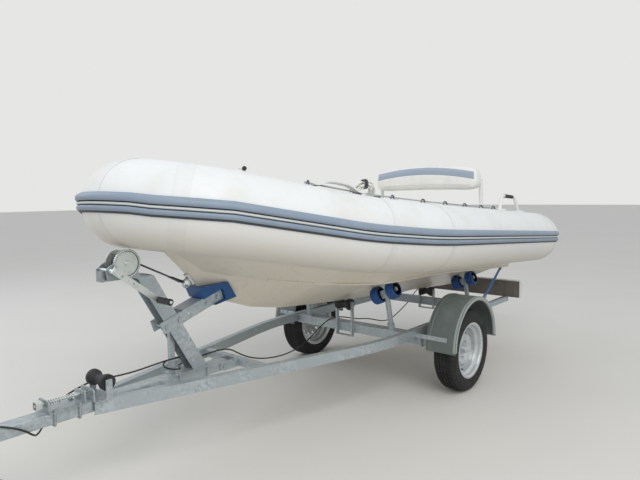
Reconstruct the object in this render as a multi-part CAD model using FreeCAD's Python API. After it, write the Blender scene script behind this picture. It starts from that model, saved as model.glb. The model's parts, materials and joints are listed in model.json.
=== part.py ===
import FreeCAD, Part
import math
import os
from FreeCAD import Vector as V

# Rigid inflatable boat on its tilting road trailer.
# +X points forward to the coupling, +Y to port and +Z up; the ground is Z 0.
# The shapes are drawn with X 0 at the wheel axle and moved to ORIGIN_X when they are written.

# Driving dimensions, millimetres

# Overall
STERN_X = -1690.0
NOSE_X = 3090.0
ORIGIN_X = (STERN_X + NOSE_X) / 2

# Wheels
TYRE_R = 275.0
TYRE_W = 155.0
RIM_R = 182.0
WHEEL_Y = 684.0
HUB_BACK = 22.0

# Trailer frame
RAIL_H = 60.0
RAIL_W = 40.0
RAIL_WALL = 3.0
RAIL_TOP = 439.0
RAIL_Z = RAIL_TOP - RAIL_H / 2
RAIL_Y = 483.0
RAIL_REAR = -860.0
RAIL_BEND = 664.0
RAIL_BEND_R = 1800.0
RAIL_NOSE = V(2262, 34, 0)
CROSS = 60.0
CROSS_TOP = 432.0
CROSS_FRONT_X = 370.0
CROSS_REAR_X = -780.0
HINGE_CROSS_X = 1420.0
HINGE_CROSS = 40.0

# Drawbar and its tilt hinge
BAR_W = 76.0
BAR_H = 50.0
BAR_TOP = RAIL_TOP - 0.5
BAR_Z = BAR_TOP - BAR_H / 2
BAR_LOW = BAR_TOP - BAR_H
BAR_REAR = 1500.0
BAR_FRONT = 2900.0
BAR_GAP = 5.0
TILT_X = 1534.0
TILT_BOLT_R = 8.0
LUG_R = 25.0

# Bow roller, latch and winch
BOW_ROLLER = V(2204, 0, 512)
BOW_ROLLER_HALF = 68.0
LATCH_REAR = 2296.0
LATCH_FRONT = 2448.0
LATCH_Z = 475.0
LATCH_HALF = 48.0
LATCH_ROD_R = 6.5
LATCH_THROW = 10.0
LOCK_T = 6.0
SPRING_R = 9.5
SPRING_TURNS = 12
POST_BASE = V(1681, 0, BAR_TOP)
POST_TOP = V(1981, 0, 957)
WINCH = V(2080, 0, 1029)
STOP_ARM = (V(1905, 0, 690), V(1535, 0, 812))
STOP_POST_BOLTS = (24, 103)
STOP_BLOCK_BOLTS = (280, 352)

# Jockey wheel
JOCKEY = V(2700, -72, 0)
JOCKEY_R = 100.0
JOCKEY_TRAIL = 40.0

# Boat tube: axis of the port side from stern to bow, then mirrored
TUBE_R = 205.0
TUBE_AXIS = [V(-1370, 663, 949), V(598, 701, 1072), V(1050, 605, 1119), V(1870, 296, 1270), V(2040, 0, 1310)]
TUBE_BEND_R = [1500, 1500, 300, 230]
CONE_R = 420.0
CONE_TURN = 40.0

# Boat hull: x, keel z, chine y, chine z, chine flat, side y, side z, deck z
HULL = [
    (-1215, 494, 520, 715, 40, 575, 794, 794),
    (-600, 533, 535, 757, 40, 590, 833, 833),
    (0, 571, 547, 801, 38, 605, 870, 870),
    (650, 613, 478, 797, 26, 600, 911, 911),
    (1050, 648, 320, 828, 8, 525, 950, 936),
    (1300, 695, 156, 866, 4, 415, 1000, 985),
    (1500, 764, 74, 905, 3, 320, 1035, 1030),
    (1650, 850, 44, 945, 2, 240, 1065, 1060),
    (1780, 985, 30, 1035, 2, 190, 1100, 1095),
    (1915, 1120, 16, 1130, 2, 80, 1150, 1148),
]
TRANSOM_T = 45.0
TRANSOM_TOP = 1085.0
MOTOR_WELL_W = 360.0
MOTOR_WELL_Z = 1000.0

# Rollers under the hull
ROLLER_R = 56.0
ROLLER_L = 62.0
ROLLER_GAP = 32.0
ROLLER_RIM = 13.0
ROLLER_HUB = 19.0
SPINDLE_R = 8.5
ROCKER_W = 48.0
ROCKER_H = 54.0
DEADRISE = 23.0
POST_Y = 362.0
POST_R = 17.0
HEAD_Y = 348.0
FRONT_HEAD_X = 420.0
REAR_HEAD_X = -735.0
KEEL_WAIST = 26.0
KEEL_RIM = 40.0
KEEL_HALF = 57.0
KEEL_POST = 25.0
SEAT_GAP = 0.5

# Mudguards
GUARD_R = 312.0
GUARD_Z = 330.0
GUARD_IN = 584.0
GUARD_OUT = 792.0

# Light board
BOARD_X = -1250.0
BOARD_T = 24.0
BOARD_HALF = 617.0
BOARD_LOW = 424.0
BOARD_H = 150.0

# Seat and backrest
SEAT_REAR = -905.0
SEAT_FRONT = -480.0
SEAT_HALF = 420.0
SEAT_TOP = 1110.0
BACK_X = -690.0
BACK_T = 116.0
BACK_HALF = 488.0
BACK_LOW = 1366.0
BACK_END = 1506.0
BACK_MID = 1552.0
LEG_R = 15.0

# Grab lines: angle over the tube and shares of the port side's length
LINE_ANGLE = 97.0
LINE_PATCHES = [0.222, 0.285, 0.36, 0.44, 0.52, 0.60, 0.68, 0.76]


# Basic solids

def box(x0, x1, y0, y1, z0, z1):
    return Part.makeBox(x1 - x0, y1 - y0, z1 - z0, V(x0, y0, z0))


def rod(a, b, radius):
    """A straight round bar from a to b."""
    return Part.makeCylinder(radius, (b - a).Length, a, b - a)


def pipe(a, b, radius, bore):
    return rod(a, b, radius).cut(rod(a, b, bore))


def fuse(shapes):
    """One solid from pieces that are welded or moulded together."""
    whole = shapes[0]
    if len(shapes) > 1:
        whole = shapes[0].multiFuse(shapes[1:])
    return whole.removeSplitter()


def mirror(shape):
    """The same piece on the other side of the centreline."""
    return shape.mirror(V(0, 0, 0), V(0, 1, 0))


def both(shape):
    return Part.makeCompound([shape, mirror(shape)])


def plate_y(outline, y0, y1):
    """A flat plate in the XZ plane between two values of y."""
    wire = Part.makePolygon([V(x, y0, z) for x, z in outline] + [V(outline[0][0], y0, outline[0][1])])
    return Part.Face(wire).extrude(V(0, y1 - y0, 0))


def plate_x(outline, x0, x1):
    """A flat plate in the YZ plane between two values of x."""
    wire = Part.makePolygon([V(x0, y, z) for y, z in outline] + [V(x0, outline[0][0], outline[0][1])])
    return Part.Face(wire).extrude(V(x1 - x0, 0, 0))


def plate_z(outline, z0, z1):
    """A flat plate in the XY plane between two values of z."""
    wire = Part.makePolygon([V(x, y, z0) for x, y in outline] + [V(outline[0][0], outline[0][1], z0)])
    return Part.Face(wire).extrude(V(0, 0, z1 - z0))


def rounded(shape, radius, test):
    """Fillets the edges for which test(edge) holds."""
    edges = [e for e in shape.Edges if test(e)]
    return shape.makeFillet(radius, edges)


def along(axis):
    """A test for straight edges that run along an axis."""
    def test(edge):
        if len(edge.Vertexes) < 2:
            return False
        d = edge.Vertexes[1].Point - edge.Vertexes[0].Point
        return d.Length > 1e-6 and abs(d.normalize().dot(axis)) > 0.999
    return test


def turned(shape, centre, axis, angle):
    copy = shape.copy()
    copy.rotate(centre, axis, angle)
    return copy


def bent_path(points, radii):
    """Straight runs through the points, joined by tangent arcs."""
    edges = []
    last = points[0]
    for i in range(1, len(points) - 1):
        back = (points[i - 1] - points[i]).normalize()
        ahead = (points[i + 1] - points[i]).normalize()
        half = math.acos(max(-1.0, min(1.0, back.dot(ahead)))) / 2
        cut = radii[i - 1] / math.tan(half)
        inward = (back + ahead).normalize()
        middle = points[i] + inward * (radii[i - 1] / math.sin(half) - radii[i - 1])
        start = points[i] + back * cut
        end = points[i] + ahead * cut
        edges.append(Part.makeLine(last, start))
        edges.append(Part.Arc(start, middle, end).toShape())
        last = end
    edges.append(Part.makeLine(last, points[-1]))
    return Part.Wire(edges)


def bent_rod(points, radii, radius):
    """A round bar or hose along a bent path."""
    path = bent_path(points, radii)
    circle = Part.Wire(Part.makeCircle(radius, points[0], points[1] - points[0]))
    return path.makePipeShell([circle], True, True)


def bent_bar(points, radii, width, height):
    """A flat-lying rectangular bar along a bent path in one level plane."""
    path = bent_path(points, radii)
    run = (points[1] - points[0]).normalize()
    side = V(-run.y, run.x, 0) * (width / 2)
    up = V(0, 0, height / 2)
    p = points[0]
    corners = [p + side + up, p - side + up, p - side - up, p + side - up, p + side + up]
    return path.makePipeShell([Part.makePolygon(corners)], True, True)


# Trailer frame

def rail_centre(x):
    """Y of the port rail's centreline in its slanted front part."""
    share = (x - RAIL_BEND) / (RAIL_NOSE.x - RAIL_BEND)
    return RAIL_Y + share * (RAIL_NOSE.y - RAIL_Y)


def rail_slant():
    return math.atan2(RAIL_Y - RAIL_NOSE.y, RAIL_NOSE.x - RAIL_BEND)


def side_rail():
    """Bent box-section rail; its front end is trimmed along the drawbar's side."""
    beyond = V(RAIL_NOSE.x + 80, rail_centre(RAIL_NOSE.x + 80), RAIL_Z)
    points = [V(RAIL_REAR, RAIL_Y, RAIL_Z), V(RAIL_BEND, RAIL_Y, RAIL_Z), beyond]
    outer = bent_bar(points, [RAIL_BEND_R], RAIL_W, RAIL_H)
    inner = bent_bar(points, [RAIL_BEND_R], RAIL_W - 2 * RAIL_WALL, RAIL_H - 2 * RAIL_WALL)
    slot = box(BAR_REAR, RAIL_NOSE.x + 200, -200, BAR_W / 2 + BAR_GAP, 0, 1000)
    end = box(RAIL_NOSE.x, RAIL_NOSE.x + 200, -200, 200, 0, 1000)
    return outer.cut(inner).cut(slot).cut(end)


def cross_member(x, rail):
    """A square tube across the frame with an angle bracket on each rail."""
    inside = RAIL_Y - RAIL_W / 2
    z0 = CROSS_TOP - CROSS
    half = CROSS / 2
    tube = box(x - half, x + half, -inside, inside, z0, CROSS_TOP)
    tube = tube.cut(box(x - half + 4, x + half - 4, -inside, inside, z0 + 4, CROSS_TOP - 4))
    flange = box(x - half - 35, x + half + 35, inside - 6, inside, z0 + 8, CROSS_TOP - 4)
    flange = rounded(flange, 10, along(V(0, 1, 0)))
    bolts = []
    for s in (-1, 1):
        bx = x + s * (half + 18)
        bolts.append(rod(V(bx, inside - 14, z0 + 30), V(bx, inside, z0 + 30), 8))
    bracket = fuse([flange] + bolts).cut(rail)
    return fuse([tube, bracket, mirror(bracket)])


def hinge_cross_member():
    """The cross tube behind the drawbar, with the two lugs and the tilt bolt."""
    half = HINGE_CROSS / 2
    x0, x1 = HINGE_CROSS_X - half, HINGE_CROSS_X + half
    off = RAIL_W / 2 / math.cos(rail_slant())
    rear, front = rail_centre(x0) - off, rail_centre(x1) - off
    tube = plate_z([(x0, -rear), (x1, -front), (x1, front), (x0, rear)], BAR_Z - half, BAR_Z + half)
    y0, y1 = BAR_W / 2 + 2, BAR_W / 2 + 10
    lug = plate_y([(x1 - 5, BAR_Z - LUG_R), (TILT_X, BAR_Z - LUG_R), (TILT_X, BAR_Z + LUG_R), (x1 - 5, BAR_Z + LUG_R)], y0, y1)
    lug = fuse([lug, rod(V(TILT_X, y0, BAR_Z), V(TILT_X, y1, BAR_Z), LUG_R)])
    web = plate_z([(x1 - 5, -y1), (BAR_REAR - 14, -y1), (BAR_REAR - 14, y1), (x1 - 5, y1)], BAR_Z - half, BAR_Z - half + 6)
    bolt = rod(V(TILT_X, -y1 - 14, BAR_Z), V(TILT_X, y1 + 4, BAR_Z), TILT_BOLT_R)
    head = hexagon(V(TILT_X, y1, BAR_Z), V(0, 1, 0), 24, 11)
    nut = hexagon(V(TILT_X, -y1, BAR_Z), V(0, -1, 0), 24, 10)
    return fuse([tube, lug, mirror(lug), web, bolt, head, nut])


def hexagon(base, axis, across, height):
    """A hexagonal bolt head or nut standing on base."""
    axis = V(axis).normalize()
    side = V(0, 0, 1) if abs(axis.z) < 0.9 else V(1, 0, 0)
    side = (side - axis * side.dot(axis)).normalize()
    other = axis.cross(side)
    r = across / math.sqrt(3)
    corners = []
    for i in range(7):
        a = math.radians(60 * i)
        corners.append(base + side * (r * math.cos(a)) + other * (r * math.sin(a)))
    return Part.Face(Part.makePolygon(corners)).extrude(axis * height)


def nose_bridge():
    """The plate that ties the rail ends over the drawbar, with the lock plate and roller cheeks."""
    y = BOW_ROLLER_HALF + 4
    plate = box(BOW_ROLLER.x - 32, RAIL_NOSE.x + LOCK_T, -y - 6, y + 6, RAIL_TOP, RAIL_TOP + 5)
    lock = box(RAIL_NOSE.x, RAIL_NOSE.x + LOCK_T, -60, 60, RAIL_TOP, LATCH_Z + 20)
    lock = rounded(lock, 14, lambda e: along(V(1, 0, 0))(e) and e.CenterOfMass.z > LATCH_Z)
    lock = lock.cut(rod(V(RAIL_NOSE.x - 10, 0, LATCH_Z), V(RAIL_NOSE.x + 20, 0, LATCH_Z), LATCH_ROD_R + 0.5))
    x, z = BOW_ROLLER.x, BOW_ROLLER.z
    cheek = box(x - 15, x + 15, y, y + 6, RAIL_TOP, z + 17)
    cheek = rounded(cheek, 6, lambda e: along(V(0, 1, 0))(e) and e.CenterOfMass.z > z)
    pin = rod(V(x, -y - 14, z), V(x, y + 14, z), 6)
    head = hexagon(V(x, y + 6, z), V(0, 1, 0), 19, 7)
    return fuse([plate, lock, cheek, mirror(cheek), pin, head, mirror(head)])


def bobbin(centre, axis, half, waist, rim, bore):
    """A keel roller: waisted in the middle, turned about its axis."""
    profile = [(-half, bore), (-half, rim), (-half * 0.72, rim), (-half * 0.15, waist),
               (half * 0.15, waist), (half * 0.72, rim), (half, rim), (half, bore)]
    points = [V(x, y, 0) for x, y in profile]
    face = Part.Face(Part.makePolygon(points + [points[0]]))
    solid = face.revolve(V(0, 0, 0), V(1, 0, 0), 360)
    turn = FreeCAD.Rotation(V(1, 0, 0), axis)
    solid.Placement = FreeCAD.Placement(centre, turn)
    return solid


def axle_beam():
    """Torsion axle: square tube, hanger plates, trailing arms and stub axles."""
    x, z, s = 150.0, 338.0, 35.0
    low = RAIL_TOP - RAIL_H
    reach = WHEEL_Y - 118
    tube = box(x - s, x + s, -reach, reach, z - s, z + s)
    arm = plate_y([(x + 30, z - 32), (x + 30, z + 32), (-26, TYRE_R + 22), (-26, TYRE_R - 22)], reach, reach + 28)
    knuckle = rod(V(x, reach, z), V(x, reach + 28, z), 42)
    boss = rod(V(0, reach, TYRE_R), V(0, reach + 28, TYRE_R), 34)
    stub = rod(V(0, reach + 28, TYRE_R), V(0, WHEEL_Y - HUB_BACK - 0.5, TYRE_R), 30)
    outline = [(x - 70, low - 8), (x + 70, low - 8), (x + 46, z - s - 6), (x - 46, z - s - 6)]
    hanger = plate_y(outline, RAIL_Y - 8, RAIL_Y + 8)
    foot = box(x - 90, x + 90, RAIL_Y - 20, RAIL_Y + 20, low - 8, low)
    side = fuse([arm, knuckle, boss, stub, hanger, foot])
    return fuse([tube, side, mirror(side)])


def wheel_rim(side):
    """Pressed steel rim with its disc, ring of slots, hub and bolts."""
    y = WHEEL_Y
    w = TYRE_W / 2 - 8
    r = RIM_R
    profile = [(-w, r - 2), (-w, r + 6), (-w + 6, r + 6), (-w + 12, r - 12), (-w + 40, r - 14), (-w + 52, r - 30),
               (w - 40, r - 30), (w - 30, r - 12), (w - 10, r - 10), (w - 5, r + 6), (w, r + 6), (w, r - 4),
               (w - 6, r - 13), (w - 12, r - 15), (w - 26, r - 17), (w - 36, r - 34), (w - 42, r - 36),
               (-w + 50, r - 36), (-w + 38, r - 19), (-w + 10, r - 17)]
    points = [V(r2, yy, 0) for yy, r2 in profile]
    rim = Part.Face(Part.makePolygon(points + [points[0]])).revolve(V(0, 0, 0), V(0, 1, 0), 360)
    dish = [(0, 4), (34, 4), (46, 12), (70, 22), (98, 24), (118, 8), (150, 2),
            (150, -3), (116, 2), (96, 18), (72, 16), (50, 6), (38, -2), (0, -2)]
    points = [V(r2, yy, 0) for r2, yy in dish]
    disc = Part.Face(Part.makePolygon(points + [points[0]])).revolve(V(0, 0, 0), V(0, 1, 0), 360)
    for i in range(12):
        slot = rod(V(108, -20, 0), V(108, 40, 0), 8.5)
        disc = disc.cut(turned(slot, V(0, 0, 0), V(0, 1, 0), 30 * i + 15))
    hub = Part.makeCylinder(30, HUB_BACK + 24, V(0, -HUB_BACK, 0), V(0, 1, 0))
    cap = Part.makeCylinder(22, 12, V(0, 20, 0), V(0, 1, 0))
    bolts = []
    for i in range(4):
        a = 0.4 + i * math.pi / 2
        bolts.append(hexagon(V(56 * math.cos(a), 8, 56 * math.sin(a)), V(0, 1, 0), 19, 20))
    wheel = fuse([rim, disc, hub, cap] + bolts)
    wheel.translate(V(0, y, TYRE_R))
    if side < 0:
        wheel = mirror(wheel)
    return wheel


def tyre(side):
    """Road tyre with rounded shoulders and three tread grooves."""
    w = TYRE_W / 2
    r = TYRE_R
    seat = RIM_R - 9.7
    flange = RIM_R + 6.4
    grooves = []
    for y in (-22, 0, 22):
        grooves += [(y - 4, r), (y - 3, r - 6), (y + 3, r - 6), (y + 4, r)]
    inner = [(-w + 19.6, seat), (-w + 14.4, flange), (-w + 6.5, flange), (-w + 1.5, flange + 12), (-w, RIM_R + 46)]
    profile = inner + [(-w + 5, r - 22), (-w + 20, r - 4), (-w + 34, r)] + grooves
    profile += [(w - 34, r), (w - 20, r - 4), (w - 5, r - 22), (w, RIM_R + 46), (w - 1.5, flange + 12),
                (w - 6.5, flange), (w - 13.6, flange), (w - 18.6, seat)]
    points = [V(r2, yy, 0) for yy, r2 in profile]
    body = Part.Face(Part.makePolygon(points + [points[0]])).revolve(V(0, 0, 0), V(0, 1, 0), 360)
    body.translate(V(0, WHEEL_Y, TYRE_R))
    if side < 0:
        body = mirror(body)
    return body


def mudguard(side):
    """Moulded half-round guard with a rolled outer lip and short skirts."""
    def ring(r_out, r_in, y0, y1):
        a = Part.makeCylinder(r_out, y1 - y0, V(0, y0, GUARD_Z), V(0, 1, 0))
        b = Part.makeCylinder(r_in, y1 - y0, V(0, y0, GUARD_Z), V(0, 1, 0))
        return a.cut(b)
    top = box(-400, 400, GUARD_IN - 5, GUARD_OUT + 5, GUARD_Z, GUARD_Z + 400)
    skin = ring(GUARD_R, GUARD_R - 4, GUARD_IN, GUARD_OUT).common(top)
    lip = ring(GUARD_R, GUARD_R - 24, GUARD_OUT - 5, GUARD_OUT).common(top)
    hem = ring(GUARD_R - 20, GUARD_R - 24, GUARD_OUT - 16, GUARD_OUT).common(top)
    skirts = []
    for s in (-1, 1):
        edge = box(-4, 0, GUARD_IN, GUARD_OUT, GUARD_Z - 12, GUARD_Z)
        edge.translate(V(s * GUARD_R + (4 if s < 0 else 0), 0, 0))
        skirts.append(edge)
    guard = fuse([skin, lip, hem] + skirts)
    if side < 0:
        guard = mirror(guard)
    return guard


def mudguard_stays():
    """Flat strips from the rail to the guard's front and rear faces, with their bolts."""
    pieces = []
    inside = RAIL_Y + RAIL_W / 2
    for s in (-1, 1):
        x = s * (GUARD_R + 3)
        strip = box(x - 3, x + 3, inside, GUARD_OUT - 60, GUARD_Z + 20, GUARD_Z + 48)
        strip.rotate(V(0, 0, GUARD_Z), V(0, 1, 0), -s * 7.2)
        foot = box(x - 26, x + 26, inside, inside + 5, GUARD_Z + 40, RAIL_TOP - 8)
        bolts = []
        for y in (GUARD_OUT - 80, GUARD_OUT - 130):
            bolt = hexagon(V(x + s * 3, y, GUARD_Z + 34), V(s, 0, 0), 16, 7)
            bolt.rotate(V(0, 0, GUARD_Z), V(0, 1, 0), -s * 7.2)
            bolts.append(bolt)
        pieces.append(fuse([strip, foot] + bolts))
    return Part.makeCompound(pieces + [mirror(p) for p in pieces])


def light_board():
    """The lighting beam: a moulded board with a raised rim round its edge."""
    top = BOARD_LOW + BOARD_H
    board = box(BOARD_X - BOARD_T, BOARD_X, -BOARD_HALF, BOARD_HALF, BOARD_LOW, top)
    board = rounded(board, 10, along(V(1, 0, 0)))
    gland = rod(CABLE_EXIT - V(26, 0, 0), CABLE_EXIT, 9)
    recess = box(BOARD_X - 6, BOARD_X, -BOARD_HALF + 9, BOARD_HALF - 9, BOARD_LOW + 9, top - 9)
    return fuse([board.cut(recess), gland])


def light_board_arms():
    """Square arms that slide into the rails, each with an upright for the board."""
    half = RAIL_W / 2 - RAIL_WALL
    low = RAIL_Z - RAIL_H / 2 + RAIL_WALL
    back = BOARD_X - BOARD_T
    arm = box(back - 6, RAIL_REAR + 220, RAIL_Y - half, RAIL_Y + half, low, BOARD_LOW)
    upright = box(back - 6, back, RAIL_Y - 20, RAIL_Y + 20, low, BOARD_LOW + BOARD_H - 16)
    return both(fuse([arm, upright]))


def rear_lamps():
    back = BOARD_X - BOARD_T
    lamp = box(back - 38, back, RAIL_Y + 27, BOARD_HALF - 11, BOARD_LOW + 12, BOARD_LOW + BOARD_H - 12)
    lamp = rounded(lamp, 12, along(V(1, 0, 0)))
    return both(lamp)


# Rollers and their posts

def hull_bottom(x, y):
    """Height of the hull's underside inboard of the chine."""
    for a, b in zip(HULL, HULL[1:]):
        if a[0] <= x <= b[0]:
            share = (x - a[0]) / (b[0] - a[0])
            row = [p + share * (q - p) for p, q in zip(a, b)]
            keel, chine = hull_side(row)[:2]
            return keel[1] + (chine[1] - keel[1]) * abs(y) / chine[0]
    return HULL[0][1]


def hull_stretch(x, y):
    """How much longer an upright line to the hull's underside is than a square one."""
    across = hull_bottom(x, y + 1) - hull_bottom(x, y)
    ahead = hull_bottom(x + 1, y) - hull_bottom(x, y)
    return math.sqrt(1 + across ** 2 + ahead ** 2)


def rocker_dir():
    a = math.radians(DEADRISE)
    return V(0, math.cos(a), math.sin(a))


def roller_head(x):
    """Middle of a roller pair, seated just below the hull at x."""
    d = rocker_dir()
    heights = []
    for along_axis in (-(ROLLER_GAP + ROLLER_L - 9), ROLLER_GAP + ROLLER_L - 9):
        y = HEAD_Y + along_axis * d.y
        heights.append(hull_bottom(x, y) - along_axis * d.z - (ROLLER_R + SEAT_GAP) * hull_stretch(x, y))
    return V(x, HEAD_Y, min(heights))


def keel_roller_z(x):
    """Axis height of a keel roller, seated just below the keel at x."""
    heights = []
    for y, r in ((0, KEEL_WAIST), (KEEL_HALF * 0.72, KEEL_RIM), (KEEL_HALF, KEEL_RIM)):
        heights.append(hull_bottom(x, y) - (r + SEAT_GAP) * hull_stretch(x, y))
    return min(heights)


def roller_pair(head):
    """Two cup-shaped wobble rollers on one spindle, both open towards the outside."""
    d = rocker_dir()
    pieces = []
    for start in (-(ROLLER_GAP + ROLLER_L), ROLLER_GAP):
        a = head + d * start
        b = a + d * ROLLER_L
        barrel = rod(a, b, ROLLER_R)
        rims = [e for e in barrel.Edges if e.Curve.TypeId == "Part::GeomCircle"]
        barrel = barrel.makeFillet(9, rims)
        cup = rod(b - d * 42, b + d, ROLLER_R - ROLLER_RIM)
        hub = rod(b - d * 42, b - d * 14, ROLLER_HUB)
        pieces.append(barrel.cut(cup).fuse(hub).cut(rod(a - d, b + d, SPINDLE_R + 0.5)))
    return Part.makeCompound(pieces)


def roller_posts(head, cross_x):
    """Post, rocker block and spindle that carry one roller pair on each side."""
    d = rocker_dir()
    n = V(0, -d.z, d.y)
    foot = V(cross_x, POST_Y, CROSS_TOP)
    crown = V(head.x, POST_Y - 2, head.z - 22)
    rise = (crown - foot).normalize()
    reach = ROLLER_GAP + ROLLER_L
    block_half = ROLLER_GAP - 5.5
    block = Part.makeBox(ROCKER_W, 2 * block_half, ROCKER_H, V(-ROCKER_W / 2, -block_half, -ROCKER_H * 0.62))
    block = rounded(block, 5, along(V(0, 1, 0)))
    block.Placement = FreeCAD.Placement(head, FreeCAD.Rotation(V(0, 0, 1), n))
    pieces = [
        block,
        rod(foot - rise * 20, crown, POST_R),
        rod(foot - rise * 20, foot + rise * 45, POST_R + 6),
        box(foot.x - 30, foot.x + 30, foot.y - 35, foot.y + 35, CROSS_TOP, CROSS_TOP + 6),
        rod(head - d * (reach + 14), head + d * reach, SPINDLE_R),
        hexagon(head - d * (reach + 1), d * (-1), 24, 9),
        hexagon(head + d * (reach - 12), d, 24, 9),
    ]
    above = box(cross_x - 200, cross_x + 200, 100, 600, CROSS_TOP, CROSS_TOP + 500)
    return both(fuse(pieces).common(above))


def keel_x(cross_x):
    """The keel roller's posts stand against the cross member's front face."""
    return cross_x + CROSS / 2 + KEEL_POST / 2


def keel_posts(cross_x):
    """Two square posts on the cross member that carry the keel roller's pin."""
    x = keel_x(cross_x)
    z = keel_roller_z(x)
    s = KEEL_POST / 2
    y = KEEL_HALF + 9
    low = CROSS_TOP - CROSS - 26
    pieces = [box(x - s, x + s, side * y - 6, side * y + 6, low, z + 18) for side in (-1, 1)]
    pieces.append(rod(V(x, -y - 12, z), V(x, y + 12, z), 6))
    pieces.append(box(x - s, x + s, -y - 6, y + 6, low, low + 6))
    return fuse(pieces)


def keel_roller(cross_x):
    x = keel_x(cross_x)
    return bobbin(V(x, 0, keel_roller_z(x)), V(0, 1, 0), KEEL_HALF, KEEL_WAIST, KEEL_RIM, 6.5)


# Boat

def tube_points():
    port = TUBE_AXIS
    return port + [V(p.x, -p.y, p.z) for p in reversed(port[:-1])]


def tube_radii():
    return TUBE_BEND_R[:3] + [TUBE_BEND_R[3]] + TUBE_BEND_R[2::-1]


def stern_cone():
    """The rounded end of the port tube, turned about the tube's axis."""
    t = math.radians(CONE_TURN)
    shoulder = V(CONE_R * math.sin(t), TUBE_R - CONE_R * (1 - math.cos(t)), 0)
    middle = V(CONE_R * math.sin(t / 2), TUBE_R - CONE_R * (1 - math.cos(t / 2)), 0)
    end_r = shoulder.y / math.cos(t)
    centre = shoulder.x - end_r * math.sin(t)
    b = math.radians((90 + CONE_TURN) / 2)
    tip_mid = V(centre + end_r * math.sin(b), end_r * math.cos(b), 0)
    tip = V(centre + end_r, 0, 0)
    edges = [Part.makeLine(V(-2, 0, 0), V(-2, TUBE_R, 0)), Part.makeLine(V(-2, TUBE_R, 0), V(0, TUBE_R, 0)),
             Part.Arc(V(0, TUBE_R, 0), middle, shoulder).toShape(), Part.Arc(shoulder, tip_mid, tip).toShape(),
             Part.makeLine(tip, V(-2, 0, 0))]
    cone = Part.Face(Part.Wire(edges)).revolve(V(0, 0, 0), V(1, 0, 0), 360)
    out = (TUBE_AXIS[0] - TUBE_AXIS[1]).normalize()
    cone.Placement = FreeCAD.Placement(TUBE_AXIS[0], FreeCAD.Rotation(V(1, 0, 0), out))
    return cone


def buoyancy_tube():
    body = bent_rod(tube_points(), tube_radii(), TUBE_R)
    cone = stern_cone()
    return fuse([body, cone, mirror(cone)])


STRAKE_PROFILE = [(-10, -46), (6, -46), (9, -40), (16, -34), (20, -26), (19, -14), (10, -6), (8, 0),
                  (10, 4), (20, 12), (24, 22), (22, 34), (12, 42), (6, 46), (-10, 46)]


def strake_stations():
    """Points on the tube axis, with the direction of travel, from port stern to the bow."""
    path = bent_path(tube_points(), tube_radii())
    stations = []
    half = path.Length / 2
    run = 0.0
    for edge in path.OrderedEdges:
        length = edge.Length
        steps = 1
        if edge.Curve.TypeId == "Part::GeomCircle":
            steps = max(2, int(round(math.degrees(length / edge.Curve.Radius) / 12)))
        for i in range(steps):
            at = run + length * i / steps
            if at < half - 1:
                stations.append(point_at(edge, length * i / steps))
        if run < half <= run + length:
            stations.append(point_at(edge, half - run))
        run += length
    return stations


def point_at(edge, length):
    u = edge.getParameterByLength(length)
    p = edge.valueAt(u)
    t = edge.tangentAt(u)
    return p, t


def strake_section(p, t):
    """The rubbing strake's profile, square to the tube at one station."""
    out = V(-t.y, t.x, 0).normalize()
    if out.dot(V(0.4, 1, 0)) < 0:
        out = out * -1
    up = t.cross(out).normalize()
    if up.z < 0:
        up = up * -1
    corners = []
    for o, h in STRAKE_PROFILE:
        reach = math.sqrt(TUBE_R ** 2 - h * h) + o
        corners.append(p + out * reach + up * (h + 9))
    return Part.makePolygon(corners + [corners[0]])


def rubbing_strake(tube):
    """Double-ribbed band round the widest line of the tube."""
    wires = [strake_section(p, t) for p, t in strake_stations()]
    half = Part.makeLoft(wires, True, True)
    return fuse([half, mirror(half)]).cut(tube)


def hull_side(row):
    """Keel, inner chine, outer chine and top of the side at one station."""
    x, keel, cy, cz, flat, sy, sz, deck = row
    return [(0, keel), (cy - flat, cz + 4 - flat * 0.1), (cy, cz - flat * 0.35), (sy, sz)]


def hull_section(row):
    x, deck = row[0], row[7]
    half = hull_side(row)
    port = [V(x, y, z) for y, z in half]
    starboard = [V(x, -y, z) for y, z in reversed(half[1:])]
    return Part.makePolygon(port + [V(x, 0, deck)] + starboard + [port[0]])


def hull(tube):
    """Deep-V hull moulding with its deck and transom, fitted between the tubes."""
    body = Part.makeLoft([hull_section(row) for row in HULL], True, True)
    x0 = HULL[0][0]
    well = MOTOR_WELL_W / 2
    outline = hull_side(HULL[0])
    outline += [(outline[-1][0] - 60, TRANSOM_TOP), (well + 30, TRANSOM_TOP), (well, MOTOR_WELL_Z)]
    full = outline + [(-y, z) for y, z in reversed(outline[1:])]
    transom = plate_x(full, x0, x0 + TRANSOM_T)
    whole = fuse([body, transom])
    return whole.cut(tube)


def deck_z(x):
    """Height of the sloping cockpit floor at x."""
    for a, b in zip(HULL, HULL[1:]):
        if a[0] <= x <= b[0]:
            return a[7] + (b[7] - a[7]) * (x - a[0]) / (b[0] - a[0])
    return HULL[0][7]


def bow_locker(tube, body):
    """Raised step moulding in the bow with a lid on top."""
    outline = [(1330, -288), (1810, -106), (1810, 106), (1330, 288)]
    step = plate_z(outline, 990, 1205)
    step = rounded(step, 25, lambda e: abs(e.CenterOfMass.z - 1205) < 1 and e.CenterOfMass.x < 1335)
    above = plate_y([(1300, deck_z(1300) - 25), (1850, deck_z(1850) - 25), (1850, 1300), (1300, 1300)], -400, 400)
    lid = plate_z([(1370, -240), (1700, -130), (1700, 130), (1370, 240)], 1205, 1215)
    return fuse([step.common(above).cut(tube).cut(body), lid.cut(tube)])


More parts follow.
